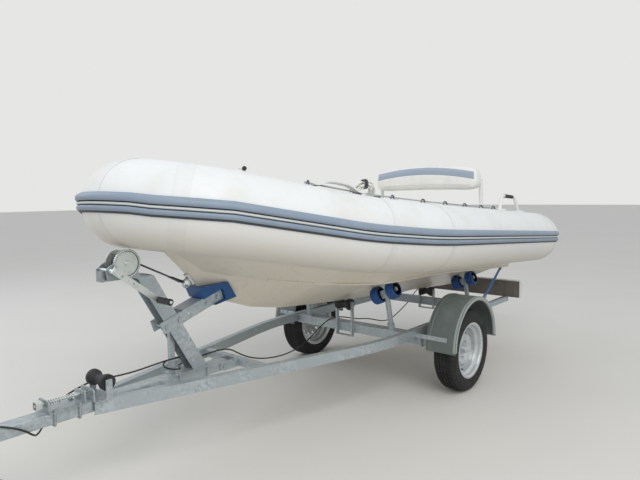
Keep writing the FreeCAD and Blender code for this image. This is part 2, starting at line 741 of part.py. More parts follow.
def seat_box():
    """Hollow bench moulding with rounded corners and a toe recess."""
    outer = box(SEAT_REAR, SEAT_FRONT, -SEAT_HALF, SEAT_HALF, 780, SEAT_TOP)
    outer = rounded(outer, 45, along(V(0, 0, 1)))
    outline = [(-1000, 700), (-400, 700)] + [(x, deck_z(x)) for x in (-400, HULL[1][0], -1000)]
    floor = plate_y(outline, -500, 500)
    inner = box(SEAT_REAR + 8, SEAT_FRONT - 8, -SEAT_HALF + 8, SEAT_HALF - 8, 780, SEAT_TOP - 8)
    inner = rounded(inner, 37, along(V(0, 0, 1)))
    hatch = box(SEAT_FRONT - 3, SEAT_FRONT + 5, -170, 170, 930, 1060)
    return outer.cut(inner).cut(floor).cut(hatch)


def seat_cushion():
    pad = box(SEAT_REAR + 10, SEAT_FRONT - 5, -SEAT_HALF + 8, SEAT_HALF - 8, SEAT_TOP + 0.3, SEAT_TOP + 68)
    pad = rounded(pad, 42, along(V(0, 0, 1)))
    return rounded(pad, 18, lambda e: e.CenterOfMass.z > SEAT_TOP + 60)


def backrest_cushion():
    """Bolster with an arched top that spans the boat above the bench."""
    h, r = BACK_HALF, 52
    x0 = BACK_X - BACK_T / 2
    k = r * 0.293
    edges = [
        Part.makeLine(V(x0, -h + r, BACK_LOW), V(x0, h - r, BACK_LOW)),
        Part.Arc(V(x0, h - r, BACK_LOW), V(x0, h - k, BACK_LOW + k), V(x0, h, BACK_LOW + r)).toShape(),
        Part.makeLine(V(x0, h, BACK_LOW + r), V(x0, h, BACK_END - 40)),
        Part.Arc(V(x0, h, BACK_END - 40), V(x0, h - 12, BACK_END - 10), V(x0, h - 44, BACK_END + 6)).toShape(),
        Part.Arc(V(x0, h - 44, BACK_END + 6), V(x0, 0, BACK_MID), V(x0, -h + 44, BACK_END + 6)).toShape(),
        Part.Arc(V(x0, -h + 44, BACK_END + 6), V(x0, -h + 12, BACK_END - 10), V(x0, -h, BACK_END - 40)).toShape(),
        Part.makeLine(V(x0, -h, BACK_END - 40), V(x0, -h, BACK_LOW + r)),
        Part.Arc(V(x0, -h, BACK_LOW + r), V(x0, -h + k, BACK_LOW + k), V(x0, -h + r, BACK_LOW)).toShape(),
    ]
    pad = Part.Face(Part.Wire(edges)).extrude(V(BACK_T, 0, 0))
    return rounded(pad, 30, lambda e: abs(e.CenterOfMass.x - x0) < 1 or abs(e.CenterOfMass.x - x0 - BACK_T) < 1)


def backrest_frame():
    """White tubular frame: a leg each side of the bench and a rail behind the bolster."""
    x = BACK_X - BACK_T / 2 - LEG_R - 0.3
    y_top, y_low = 470.0, SEAT_HALF + LEG_R
    side = [V(x, y_low, 930), V(x, y_low, 1120), V(x, y_top, 1190), V(x, y_top, 1440)]
    leg = bent_rod(side, [60, 60], LEG_R)
    rail = rod(V(x, -y_top, 1425), V(x, y_top, 1425), LEG_R)
    foot = box(x - 35, x + 35, SEAT_HALF, SEAT_HALF + 6, 940, 1010)
    return fuse([leg, mirror(leg), rail, foot, mirror(foot)])


def tube_frame(share):
    """Axis point, direction, outboard and upward normals at a share of the port side's length."""
    path = bent_path(tube_points(), tube_radii())
    want = path.Length / 2 * share
    run = 0.0
    for edge in path.OrderedEdges:
        if run + edge.Length >= want:
            break
        run += edge.Length
    p, t = point_at(edge, want - run)
    out = V(-t.y, t.x, 0).normalize()
    if out.dot(V(0.4, 1, 0)) < 0:
        out = out * -1
    up = t.cross(out).normalize()
    if up.z < 0:
        up = up * -1
    return p, t, out, up


def on_tube(share, angle, height):
    """Point above the tube's skin; the angle is measured from outboard over the top."""
    p, t, out, up = tube_frame(share)
    a = math.radians(angle)
    normal = out * math.cos(a) + up * math.sin(a)
    return p + normal * (TUBE_R + height), t, normal


def pad_on_tube(share, angle, width, height):
    """A round moulded patch that lies on the tube's skin."""
    p, t, normal = on_tube(share, angle, 0)
    axis = p - normal * TUBE_R
    disc = Part.makeCylinder(width / 2, 60, p - normal * 45, normal)
    skin = pipe(axis - t * width, axis + t * width, TUBE_R + height, TUBE_R)
    return disc.common(skin)


def grab_lines(tube):
    """Grab line along the top of each tube, held by moulded patches."""
    pieces = []
    spots = [on_tube(s, LINE_ANGLE, 18)[0] for s in LINE_PATCHES]
    for s in LINE_PATCHES:
        p, t, normal = on_tube(s, LINE_ANGLE, 2)
        boss = rod(p, p + normal * 22, 13)
        pieces.append(pad_on_tube(s, LINE_ANGLE, 74, 4).fuse(boss).cut(tube))
    for a, b in zip(spots, spots[1:]):
        pieces.append(rod(a, b, 5))
    return both(Part.makeCompound(pieces))


def stern_rails():
    """Short tubular rail on top of each tube near the stern, on moulded feet."""
    angle = 96.0
    low = [on_tube(s, angle, 6) for s in (0.190, 0.080)]
    high = [on_tube(s, angle, 118) for s in (0.172, 0.098)]
    points = [low[0][0], high[0][0], high[1][0], low[1][0]]
    bar = bent_rod(points, [38, 38], 12)
    pieces = [bar]
    for s in (0.190, 0.080):
        pieces.append(pad_on_tube(s, angle, 96, 10))
    return both(fuse(pieces))


def bow_eye(body):
    """Forged eye on the stem for the winch hook."""
    ring = Part.makeTorus(20, 5, V(1727, 0, 886), V(0, 1, 0))
    plate = plate_y([(1694, 876), (1734, 930), (1724, 938), (1684, 884)], -14, 14)
    return fuse([ring, plate]).cut(body)


def rope_coil():
    """Outer form of the rope hank lying on the port tube."""
    p, t, out, up = tube_frame(0.635)
    lie, lean = math.radians(118), math.radians(143)
    centre = p + out * (250.6 * math.cos(lie)) + up * (250.6 * math.sin(lie))
    axis = out * math.cos(lean) + up * math.sin(lean)
    return Part.makeTorus(62, 26, centre, axis)


# Drawbar with latch, winch and bow stop

def drawbar_tube():
    h = BAR_W / 2
    tube = box(BAR_REAR, BAR_FRONT, -h, h, BAR_LOW, BAR_TOP)
    tube = rounded(tube, 6, along(V(1, 0, 0)))
    inner = box(BAR_REAR - 1, BAR_FRONT + 1, -h + 4, h - 4, BAR_LOW + 4, BAR_TOP - 4)
    bore = rod(V(TILT_X, -h - 1, BAR_Z), V(TILT_X, h + 1, BAR_Z), TILT_BOLT_R + 0.5)
    return tube.cut(inner).cut(bore)


def u_bolt(x):
    """A U-bolt that wraps the drawbar, with its nuts on a plate above."""
    y = BAR_W / 2 + 5.3
    z0 = BAR_LOW - 5.3
    points = [V(x, -y, BAR_TOP + 16), V(x, -y, z0), V(x, y, z0), V(x, y, BAR_TOP + 16)]
    bolt = bent_rod(points, [9, 9], 5)
    nuts = [hexagon(V(x, s * y, BAR_TOP + 6), V(0, 0, 1), 17, 8) for s in (-1, 1)]
    return [bolt] + nuts


def latch_bracket():
    """Base with two drilled flanges, clamped on the drawbar by two U-bolts."""
    y = LATCH_HALF
    pieces = [box(LATCH_REAR, LATCH_FRONT + 6, -y - 4, y + 4, BAR_TOP, BAR_TOP + 6)]
    for x in (LATCH_REAR, LATCH_FRONT):
        flange = box(x, x + 6, -y, y, BAR_TOP, LATCH_Z + 18)
        flange = rounded(flange, 16, lambda e: along(V(1, 0, 0))(e) and e.CenterOfMass.z > LATCH_Z)
        pieces.append(flange)
    for x in (LATCH_REAR + 26, LATCH_FRONT - 20):
        pieces += u_bolt(x)
    whole = fuse(pieces)
    return whole.cut(rod(V(LATCH_REAR - 5, 0, LATCH_Z), V(LATCH_FRONT + 15, 0, LATCH_Z), LATCH_ROD_R + 0.3))


def collar_x():
    return LATCH_REAR + 6 + LATCH_THROW + 4


def latch_rod():
    """Sprung bolt, drawn until its tip just clears the lock plate, with a collar and a square pull."""
    tip = RAIL_NOSE.x + LOCK_T + 1
    pull_x = LATCH_FRONT + 6 + LATCH_THROW + 1.5
    deep = 24.0
    pieces = [
        rod(V(tip + 6, 0, LATCH_Z), V(pull_x + deep, 0, LATCH_Z), LATCH_ROD_R),
        Part.makeCone(4, LATCH_ROD_R, 6, V(tip, 0, LATCH_Z), V(1, 0, 0)),
        rod(V(collar_x(), 0, LATCH_Z), V(collar_x() + 6, 0, LATCH_Z), SPRING_R + 2),
        hexagon(V(pull_x + 4, 0, LATCH_Z), V(1, 0, 0), 19, 8),
    ]
    pull = box(pull_x, pull_x + deep, -18, 18, LATCH_Z - 18, LATCH_Z + 18)
    pull = rounded(pull, 6, along(V(1, 0, 0)))
    hollow = box(pull_x + 4, pull_x + deep + 1, -14.5, 14.5, LATCH_Z - 14.5, LATCH_Z + 14.5)
    pieces.append(pull.cut(hollow))
    return fuse(pieces)


def latch_spring():
    """Compression spring between the collar and the front flange."""
    wire = 1.8
    x0, x1 = collar_x() + 6 + wire + 0.3, LATCH_FRONT - wire - 0.3
    helix = Part.makeHelix((x1 - x0) / SPRING_TURNS, x1 - x0, SPRING_R)
    circle = Part.Wire(Part.makeCircle(wire, V(SPRING_R, 0, 0), V(0, 1, 0)))
    coil = Part.Wire(helix).makePipeShell([circle], True, True)
    coil.Placement = FreeCAD.Placement(V(x0, 0, LATCH_Z), FreeCAD.Rotation(V(0, 0, 1), V(1, 0, 0)))
    return coil


def winch_post():
    """Leaning channel post with its base plate, U-bolts and brace."""
    lean = POST_TOP - POST_BASE
    length = lean.Length
    outer = Part.makeBox(76, 80, length + 120, V(-38, -40, -60))
    inner = Part.makeBox(76, 70, length + 160, V(-33, -35, -80))
    channel = outer.cut(inner)
    tilt = math.degrees(math.atan2(lean.x, lean.z))
    channel.Placement = FreeCAD.Placement(POST_BASE, FreeCAD.Rotation(V(0, 1, 0), tilt))
    channel = channel.common(box(1500, 2200, -50, 50, BAR_TOP + 6, POST_TOP.z))
    for x in STOP_POST_BOLTS:
        channel = channel.cut(arm_place(Part.makeCylinder(6, 140, V(x, -70, 4), V(0, 1, 0))))
    base = box(1622, 1848, -50, 50, BAR_TOP, BAR_TOP + 6)
    brace = box(1818, 1843, -12, 12, BAR_TOP, 668)
    shelf = box(1790, 1856, -37, 37, 662, 668)
    top = box(1938, 2026, -40, 40, POST_TOP.z - 6, POST_TOP.z)
    pieces = [channel, base, brace, shelf, top]
    for x in (1640, 1812):
        pieces += u_bolt(x)
    return fuse(pieces)


def winch_frame():
    """Base and two side plates that carry the drum and the crank shaft."""
    z = POST_TOP.z
    base = box(1950, 2172, -44, 44, z, z + 6)
    outline = [(2010, z), (2172, z), (2180, z + 50), (2160, z + 66), (2098, z + 100), (2062, z + 100), (2030, z + 60)]
    side = plate_y(outline, 38, 44)
    side = side.cut(rod(V(WINCH.x, 30, WINCH.z), V(WINCH.x, 50, WINCH.z), 11))
    side = side.cut(rod(V(2158, 30, 1003), V(2158, 50, 1003), 9))
    cap = box(2172, 2190, -24, 24, z - 4, z + 44)
    return fuse([base, side, mirror(side), cap])


def winch_drum():
    """Drum, shaft and toothed gear wheel."""
    axis = V(0, 1, 0)
    shaft = Part.makeCylinder(10.5, 116, V(WINCH.x, -50, WINCH.z), axis)
    barrel = Part.makeCylinder(25, 72, V(WINCH.x, -36, WINCH.z), axis)
    flange = Part.makeCylinder(58, 3, V(WINCH.x, -36.5, WINCH.z), axis)
    teeth = 48
    r_out, r_in = 67.0, 63.0
    points = []
    for i in range(teeth):
        a = 2 * math.pi * i / teeth
        for da, r in ((-0.03, r_in), (-0.015, r_out), (0.015, r_out), (0.03, r_in)):
            points.append(V(WINCH.x + r * math.cos(a + da), 46, WINCH.z + r * math.sin(a + da)))
    gear = Part.Face(Part.makePolygon(points + [points[0]])).extrude(V(0, 9, 0))
    dish = Part.makeCylinder(56, 3, V(WINCH.x, 52, WINCH.z), axis)
    return fuse([shaft, barrel, flange, gear.cut(dish)])


def winch_crank():
    """Crank shaft with pinion, drilled arm and grip spindle."""
    root = V(2158, 0, 1003)
    shaft = rod(root - V(0, 48, 0), root + V(0, 98, 0), 8.5)
    pinion = rod(root + V(0, 57, 0), root + V(0, 66, 0), 12)
    run = V(1950, 0, 846) - root
    length = run.Length
    arm = Part.makeBox(length + 30, 6, 30, V(-15, 84, -15))
    for i in range(3):
        arm = arm.cut(Part.makeCylinder(5, 20, V(40 + 34 * i, 76, 0), V(0, 1, 0)))
    arm.Placement = FreeCAD.Placement(root, FreeCAD.Rotation(V(0, 1, 0), -math.degrees(math.atan2(run.z, run.x))))
    tip = root + run
    spindle = rod(tip + V(0, 84, 0), tip + V(0, 196, 0), 6)
    grip = rod(tip + V(0, 96, 0), tip + V(0, 190, 0), 14)
    grip = grip.makeFillet(5, [e for e in grip.Edges if e.Curve.TypeId == "Part::GeomCircle"])
    return fuse([shaft, pinion, arm, spindle, grip])


def winch_strap():
    """Webbing from the drum to the hook at the bow eye."""
    a = V(2070, 0, 1054)
    b = V(1752, 0, 897)
    run = b - a
    strip = Part.makeBox(run.Length, 44, 3, V(0, -22, -1.5))
    slope = -math.degrees(math.atan2(run.z, run.x))
    strip.Placement = FreeCAD.Placement(a, FreeCAD.Rotation(V(0, 1, 0), slope))
    return strip


def bow_stop_arm():
    """Channel arm bolted across the post, with two bolts for the rubber block."""
    length = (STOP_ARM[1] - STOP_ARM[0]).Length
    plates = []
    for y in (40.2, -46.2):
        plates.append(Part.makeBox(length, 6, 60, V(0, y, -30)))
    web = Part.makeBox(120, 92.4, 6, V(138, -46.2, -30))
    bolts = []
    for x in STOP_POST_BOLTS + STOP_BLOCK_BOLTS:
        bolts.append(Part.makeCylinder(6, 112, V(x, -56, 4), V(0, 1, 0)))
        bolts.append(hexagon(V(x, 46.2, 4), V(0, 1, 0), 19, 9))
        bolts.append(hexagon(V(x, -46.2, 4), V(0, -1, 0), 19, 9))
    arm = fuse(plates + [web] + bolts)
    arm = arm.cut(Part.makeCylinder(6, 20, V(165, 35, 4), V(0, 1, 0)))
    return arm_place(arm)


def arm_place(shape):
    """Moves a shape drawn along X to the line of the bow-stop arm."""
    a, b = STOP_ARM
    run = b - a
    slope = -math.degrees(math.atan2(run.z, run.x))
    shape.Placement = FreeCAD.Placement(a, FreeCAD.Rotation(V(0, 1, 0), slope))
    return shape


def bow_stop_block(body):
    """Rubber block with a vee that takes the stem, held between the arm's plates."""
    outline = [(1693, 862), (1506, 872), (1449, 784), (1642, 752)]
    whole = plate_y(outline, -64, 64)
    for y in (39.7, -64.5):
        whole = whole.cut(arm_place(Part.makeBox(402, 24.8, 62, V(-10, y, -31))))
    for x in STOP_BLOCK_BOLTS:
        whole = whole.cut(arm_place(Part.makeCylinder(6, 140, V(x, -70, 4), V(0, 1, 0))))
    keel = body.copy()
    keel.translate(V(0.5, 0, -0.86) * 0.9)
    return whole.cut(keel)


def coupling_head():
    """Pressed coupling body with ball cup, clamp handle and two cross bolts."""
    z = BAR_Z
    w = BAR_W / 2 + 6
    h = BAR_H / 2 + 6
    sleeve = box(BAR_FRONT - 90, BAR_FRONT + 40, -w, w, z - h, z + h)
    sleeve = sleeve.cut(box(BAR_FRONT - 95, BAR_FRONT, -w + 6, w - 6, z - h + 6, z + h - 6))
    outline = [(BAR_FRONT + 40, -w), (NOSE_X - 60, -30), (NOSE_X - 60, 30), (BAR_FRONT + 40, w)]
    neck = plate_z(outline, z - 28, z + 26)
    cup = Part.makeCylinder(40, 52, V(NOSE_X - 40, 0, z - 36), V(0, 0, 1))
    dome = Part.makeSphere(40, V(NOSE_X - 40, 0, z + 10))
    socket = Part.makeCylinder(25.4, 42, V(NOSE_X - 40, 0, z - 40), V(0, 0, 1))
    bolts = []
    for x in (BAR_FRONT - 65, BAR_FRONT - 25):
        bolts.append(hexagon(V(x, w, z), V(0, 1, 0), 19, 9))
        bolts.append(hexagon(V(x, -w, z), V(0, -1, 0), 19, 9))
    handle = plate_y([(BAR_FRONT + 10, z + h - 4), (BAR_FRONT + 60, z + 24), (NOSE_X - 30, z + 44),
                      (NOSE_X - 30, z + 58), (NOSE_X - 60, z + 62), (BAR_FRONT + 40, z + 46)], -14, 14)
    return fuse([sleeve, neck, cup, dome, handle] + bolts).cut(socket)


def jockey_clamp():
    """Clamp on the drawbar's side with the outer tube and its crank."""
    x, y = JOCKEY.x, JOCKEY.y
    side = -BAR_W / 2
    outer = pipe(V(x, y, 262), V(x, y, 640), 24, 20.6)
    block = box(x - 40, x + 40, y + 12, side, BAR_LOW + 4, BAR_TOP - 4).cut(rod(V(x, y, 200), V(x, y, 700), 22))
    plate = box(x - 55, x + 55, side - 8, side, BAR_LOW - 8, BAR_TOP + 8)
    cap = rod(V(x, y, 640), V(x, y, 652), 26)
    shaft = rod(V(x, y, 652), V(x, y, 680), 7)
    arm = box(x - 8, x + 96, y - 9, y + 9, 674, 680)
    grip = rod(V(x + 88, y, 680), V(x + 88, y, 756), 12)
    return fuse([outer, block, plate, cap, shaft, arm, grip])


def jockey_leg():
    """Inner tube, crown and fork that swivel in the outer tube."""
    x, y = JOCKEY.x, JOCKEY.y
    back = x - JOCKEY_TRAIL
    top = JOCKEY_R + 124
    pieces = [rod(V(x, y, top - 2), V(x, y, 420), 20), box(x - 62, x + 26, y - 36, y + 36, top - 10, top)]
    for s in (-1, 1):
        outline = [(x - 62, top - 8), (x + 26, top - 8), (back + 18, JOCKEY_R - 18), (back - 18, JOCKEY_R - 18)]
        pieces.append(plate_y(outline, y + s * 33 - 3, y + s * 33 + 3))
    pieces.append(rod(V(back, y - 42, JOCKEY_R), V(back, y + 42, JOCKEY_R), 8))
    return fuse(pieces)


def jockey_wheel():
    x, y = JOCKEY.x - JOCKEY_TRAIL, JOCKEY.y
    wheel = Part.makeCylinder(JOCKEY_R, 50, V(x, y - 25, JOCKEY_R), V(0, 1, 0))
    wheel = wheel.makeFillet(12, [e for e in wheel.Edges if e.Curve.TypeId == "Part::GeomCircle"])
    for s in (-1, 1):
        wheel = wheel.cut(Part.makeCylinder(62, 14, V(x, y + s * 25, JOCKEY_R), V(0, -s, 0)))
        wheel = wheel.fuse(Part.makeCylinder(18, 16, V(x, y + s * 27, JOCKEY_R), V(0, -s, 0)))
    return wheel.cut(rod(V(x, y - 40, JOCKEY_R), V(x, y + 40, JOCKEY_R), 8.5)).removeSplitter()


STRAP_LOW = V(-612, RAIL_Y + RAIL_W / 2, RAIL_TOP - 16)
STRAP_HIGH = V(HULL[0][0] - 46, 450, 700)


def tie_down_straps():
    """Lashing strap with its buckle, from a hook plate on each rail to a ring on the transom."""
    a = STRAP_LOW + V(0, 11, 0)
    run = STRAP_HIGH - a
    strip = Part.makeBox(run.Length, 3, 25, V(0, -1.5, -12.5))
    buckle = Part.makeBox(95, 16, 38, V(125, -8, -19))
    strap = strip.fuse(buckle)
    flat = math.degrees(math.atan2(run.y, run.x))
    rise = math.degrees(math.asin(run.z / run.Length))
    strap.Placement = FreeCAD.Placement(a, FreeCAD.Rotation(V(0, 0, 1), flat) * FreeCAD.Rotation(V(0, 1, 0), -rise))
    plate = box(STRAP_LOW.x - 22, STRAP_LOW.x + 22, STRAP_LOW.y, STRAP_LOW.y + 4, STRAP_LOW.z - 16, STRAP_LOW.z + 14)
    hook = rod(STRAP_LOW, a, 7)
    eye = rod(V(HULL[0][0], STRAP_HIGH.y, STRAP_HIGH.z + 16), STRAP_HIGH + V(-6, 0, 16), 7)
    return both(fuse([strap, plate, hook, eye]))


# Lighting lead

CABLE_D = 8.0
CABLE_EXIT = V(BOARD_X + 18, -260, 470)
PLUG_R = 20.0
PLUG_X = 2735.0
PLUG_Z = BAR_TOP + PLUG_R + 0.3

# The route's corners, from the light board forward to the plug on the drawbar
CABLE = [
    CABLE_EXIT,
    V(-1140, -260, 467), V(-1032, -255, 450), V(-925, -245, 410), V(-828, -230, 366), V(-728, -213, 341),
    V(-615, -190, 320), V(-505, -168, 303), V(-395, -142, 297), V(-288, -117, 303), V(-185, -95, 322),
    V(-85, -75, 350), V(15, -58, 380), V(110, -46, 402), V(195, -44, 414), V(275, -58, 436), V(350, -88, 454),
    V(430, -118, 450), V(510, -122, 424), V(595, -110, 391), V(690, -90, 360), V(790, -72, 339),
    V(895, -58, 328), V(1000, -50, 327), V(1100, -46, 337), V(1195, -46, 356), V(1280, -50, 386),
    V(1348, -55, 424), V(1402, -58, 460), V(1475, -61, 472), V(1560, -62, 469), V(1650, -65, 461),
    V(1728, -64, 458), V(1770, -34, 459),
    V(1786, 0, 462), V(1799, 31, 466), V(1830, 44, 471), V(1861, 31, 478), V(1874, 0, 485),
    V(1861, -31, 492), V(1830, -44, 500), V(1799, -31, 508), V(1786, 0, 516), V(1799, 31, 523), V(1830, 44, 529),
    V(1876, 43, 531), V(1950, 30, 522), V(2035, 12, 509), V(2100, -20, 499), V(2146, -64, 489), V(2180, -108, 479),
    V(2238, -120, 464), V(2318, -116, 440), V(2380, -96, 408), V(2424, -65, 379), V(2460, -24, 359),
    V(2495, 18, 359), V(2522, 52, 381), V(2554, 60, 412), V(2604, 52, 440), V(2655, 26, 455), V(2697, 4, 459),
    V(PLUG_X, 0, PLUG_Z),
]


def lighting_cable():
    """Tube of straight runs joined by arcs as large as the runs allow."""
    radii = []
    for a, b, c in zip(CABLE, CABLE[1:], CABLE[2:]):
        half = (b - a).getAngle(c - b) / 2
        radii.append(0.45 * min((b - a).Length, (c - b).Length) / math.tan(half))
    tube = bent_rod(CABLE, radii, CABLE_D / 2)
    length = bent_path(CABLE, radii).Length
    share = tube.Volume / (math.pi * CABLE_D ** 2 / 4 * length)
    print("cable length", round(length), "radii", [round(r) for r in radii], "volume share", round(share, 4))
    return tube


def cable_plug():
    """Round plug with its tapered tail, lying on the drawbar."""
    x, z = PLUG_X, PLUG_Z
    x += 0.5
    profile = [(x, 0), (x, 6), (x + 26, 10), (x + 30, 16), (x + 40, PLUG_R), (x + 70, PLUG_R), (x + 70, 0)]
    face = Part.Face(Part.makePolygon([V(px, r, 0) for px, r in profile] + [V(x, 0, 0)]))
    plug = face.revolve(V(0, 0, 0), V(1, 0, 0), 360)
    plug.translate(V(0, 0, z))
    return plug


def write(name, shape):
    copy = shape.copy()
    copy.translate(V(-ORIGIN_X, 0, 0))
    copy.exportStep("parts/" + name + ".step")


def main():
    os.makedirs("parts", exist_ok=True)
    tube = buoyancy_tube()
    body = hull(tube)
    rail = side_rail()
    front_head = roller_head(FRONT_HEAD_X)
    rear_head = roller_head(REAR_HEAD_X)
    nodes = {
        "side_rail_port": rail,
        "side_rail_starboard": mirror(rail),
        "front_cross_member": cross_member(CROSS_FRONT_X, rail),
        "rear_cross_member": cross_member(CROSS_REAR_X, rail),
        "hinge_cross_member": hinge_cross_member(),
        "nose_bridge": nose_bridge(),
        "axle_beam": axle_beam(),
        "mudguard_port": mudguard(1),
        "mudguard_starboard": mudguard(-1),
        "mudguard_stays": mudguard_stays(),
        "light_board": light_board(),
        "light_board_arms": light_board_arms(),
        "rear_lamps": rear_lamps(),
        "roller_posts_front": roller_posts(front_head, CROSS_FRONT_X),
        "roller_posts_rear": roller_posts(rear_head, CROSS_REAR_X),
        "keel_posts_front": keel_posts(CROSS_FRONT_X),
        "keel_posts_rear": keel_posts(CROSS_REAR_X),
        "tie_down_straps": tie_down_straps(),
        "wheel_rim_port": wheel_rim(1),
        "tyre_port": tyre(1),
        "wheel_rim_starboard": wheel_rim(-1),
        "tyre_starboard": tyre(-1),
        "rollers_front_port": roller_pair(front_head),
        "rollers_front_starboard": mirror(roller_pair(front_head)),
        "rollers_rear_port": roller_pair(rear_head),
        "rollers_rear_starboard": mirror(roller_pair(rear_head)),
        "keel_roller_front": keel_roller(CROSS_FRONT_X),
        "keel_roller_rear": keel_roller(CROSS_REAR_X),
        "bow_roller": bobbin(BOW_ROLLER, V(0, 1, 0), BOW_ROLLER_HALF, 23, 36, 6.5),
        "buoyancy_tube": tube,
        "rubbing_strake": rubbing_strake(tube),
        "hull": body,
        "bow_locker": bow_locker(tube, body),
        "seat_box": seat_box(),
        "seat_cushion": seat_cushion(),
        "backrest_cushion": backrest_cushion(),
        "backrest_frame": backrest_frame(),
        "grab_lines": grab_lines(tube),
        "stern_rails": stern_rails(),
        "bow_eye": bow_eye(body),
        "rope_coil": rope_coil(),
        "drawbar_tube": drawbar_tube(),
        "coupling_head": coupling_head(),
        "latch_bracket": latch_bracket(),
        "latch_rod": latch_rod(),
        "latch_spring": latch_spring(),
        "winch_post": winch_post(),
        "winch_frame": winch_frame(),
        "winch_drum": winch_drum(),
        "winch_crank": winch_crank(),
        "winch_strap": winch_strap(),
        "bow_stop_arm": bow_stop_arm(),
        "bow_stop_block": bow_stop_block(body),
        "jockey_clamp": jockey_clamp(),
        "jockey_leg": jockey_leg(),
        "jockey_wheel": jockey_wheel(),
        "lighting_cable": lighting_cable(),
        "cable_plug": cable_plug(),
    }
    for name, shape in nodes.items():
        if not shape.isValid() or not shape.Solids:
            print("bad shape", name)
        b = shape.BoundBox
        print(f"{name:26s} solids {len(shape.Solids)} faces {len(shape.Faces):4d}"
              f" x {b.XMin:7.0f} {b.XMax:7.0f} y {b.YMin:6.0f} {b.YMax:6.0f} z {b.ZMin:6.0f} {b.ZMax:6.0f}")
        write(name, shape)


main()
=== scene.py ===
# %% [markdown]
# # An inflatable boat on its tilting road trailer
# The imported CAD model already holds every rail, roller, bolt and bracket at its real size and place, so
# it is loaded first and never moved. Blender then adds what a solid modeller can't show well: inflated
# fabric with its taped seams, stuffed cushions, webbing, rope, tread rubber and the finish of each metal.

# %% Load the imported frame
import json
import math

import bpy
from mathutils import Matrix, Vector


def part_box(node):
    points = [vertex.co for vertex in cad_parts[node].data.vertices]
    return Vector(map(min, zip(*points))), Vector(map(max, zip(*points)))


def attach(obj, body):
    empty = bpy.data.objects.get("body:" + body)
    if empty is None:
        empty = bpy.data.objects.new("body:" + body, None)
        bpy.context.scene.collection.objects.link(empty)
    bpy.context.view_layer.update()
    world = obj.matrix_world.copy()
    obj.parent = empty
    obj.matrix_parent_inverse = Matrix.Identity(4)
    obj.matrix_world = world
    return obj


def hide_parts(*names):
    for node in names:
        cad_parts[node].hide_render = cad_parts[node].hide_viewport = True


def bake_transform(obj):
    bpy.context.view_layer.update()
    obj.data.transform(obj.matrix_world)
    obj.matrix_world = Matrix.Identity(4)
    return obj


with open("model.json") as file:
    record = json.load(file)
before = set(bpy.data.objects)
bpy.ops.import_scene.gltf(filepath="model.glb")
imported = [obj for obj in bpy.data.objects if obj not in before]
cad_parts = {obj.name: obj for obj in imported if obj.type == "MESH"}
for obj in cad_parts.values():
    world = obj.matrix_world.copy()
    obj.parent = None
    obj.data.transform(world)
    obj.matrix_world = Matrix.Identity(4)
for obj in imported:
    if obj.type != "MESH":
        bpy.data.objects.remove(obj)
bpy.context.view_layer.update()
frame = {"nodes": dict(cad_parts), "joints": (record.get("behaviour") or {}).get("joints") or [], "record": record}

nodes = frame["nodes"]
scene = bpy.context.scene
ROOT = "trailer_and_boat"
MM = 0.001
SIDES = (("port", 1), ("starboard", -1))
ACROSS, UP = Vector((0, 1, 0)), Vector((0, 0, 1))

# %% [markdown]
# The camera stands where the photographer stood: a little above the bow, off the port side, looking aft.
# A lens of 30 mm on a full-frame sensor gives the photograph's field of view at 640 by 480.

# %% Camera
CAMERA_AT = Vector((2.664, 2.304, 1.325))
CAMERA_YAW = math.radians(220.53)
CAMERA_PITCH = math.radians(-4.685)
CAMERA_ROLL = math.radians(0.73)
FOCAL_PIXELS = 540.8

sight = Vector((
    math.cos(CAMERA_YAW) * math.cos(CAMERA_PITCH),
    math.sin(CAMERA_YAW) * math.cos(CAMERA_PITCH),
    math.sin(CAMERA_PITCH),
))
level = Vector((math.sin(CAMERA_YAW), -math.cos(CAMERA_YAW), 0))
below = sight.cross(level)
across = level * math.cos(CAMERA_ROLL) + below * math.sin(CAMERA_ROLL)
above = level * math.sin(CAMERA_ROLL) - below * math.cos(CAMERA_ROLL)

bpy.ops.object.camera_add()
camera = bpy.context.object
camera.name = "photo_camera"
camera.matrix_world = Matrix.Translation(CAMERA_AT) @ Matrix((across, above, -sight)).transposed().to_4x4()
camera.data.sensor_width = 36
camera.data.lens = FOCAL_PIXELS / 640 * 36
camera.data.clip_end = 200
scene.camera = camera
print("lens", round(camera.data.lens, 2), "mm")

# %% [markdown]
# A few small tools make every material. The first turns a paint-chart hex colour into the linear light
# values that a shader works with, and the next two add one shader node with its settings and links. Then
# comes the start of a material, a Principled shader named for the real finish. Two recipes are shared:
# soft clouds of dust or wear, and a fine grain in the surface.

# %% Colour and material tools


def linear(hex_colour):
    """An sRGB hex colour as linear RGBA."""
    values = [int(hex_colour[i:i + 2], 16) / 255 for i in (1, 3, 5)]
    return tuple(v / 12.92 if v <= 0.04045 else ((v + 0.055) / 1.055) ** 2.4 for v in values) + (1.0,)


def plug_in(tree, node, sockets):
    """Gives a node's inputs a value, a hex colour, another node or one of its outputs."""
    for key, value in sockets.items():
        if isinstance(value, str):
            value = linear(value)
        elif isinstance(value, bpy.types.Node):
            value = next(output for output in value.outputs if output.enabled)
        if isinstance(value, bpy.types.NodeSocket):
            tree.links.new(value, node.inputs[key])
        else:
            node.inputs[key].default_value = value


def add_node(tree, kind, sockets=None, **settings):
    """One node with its settings and inputs."""
    made = tree.nodes.new(kind)
    for key, value in settings.items():
        setattr(made, key, value)
    plug_in(tree, made, sockets or {})
    return made


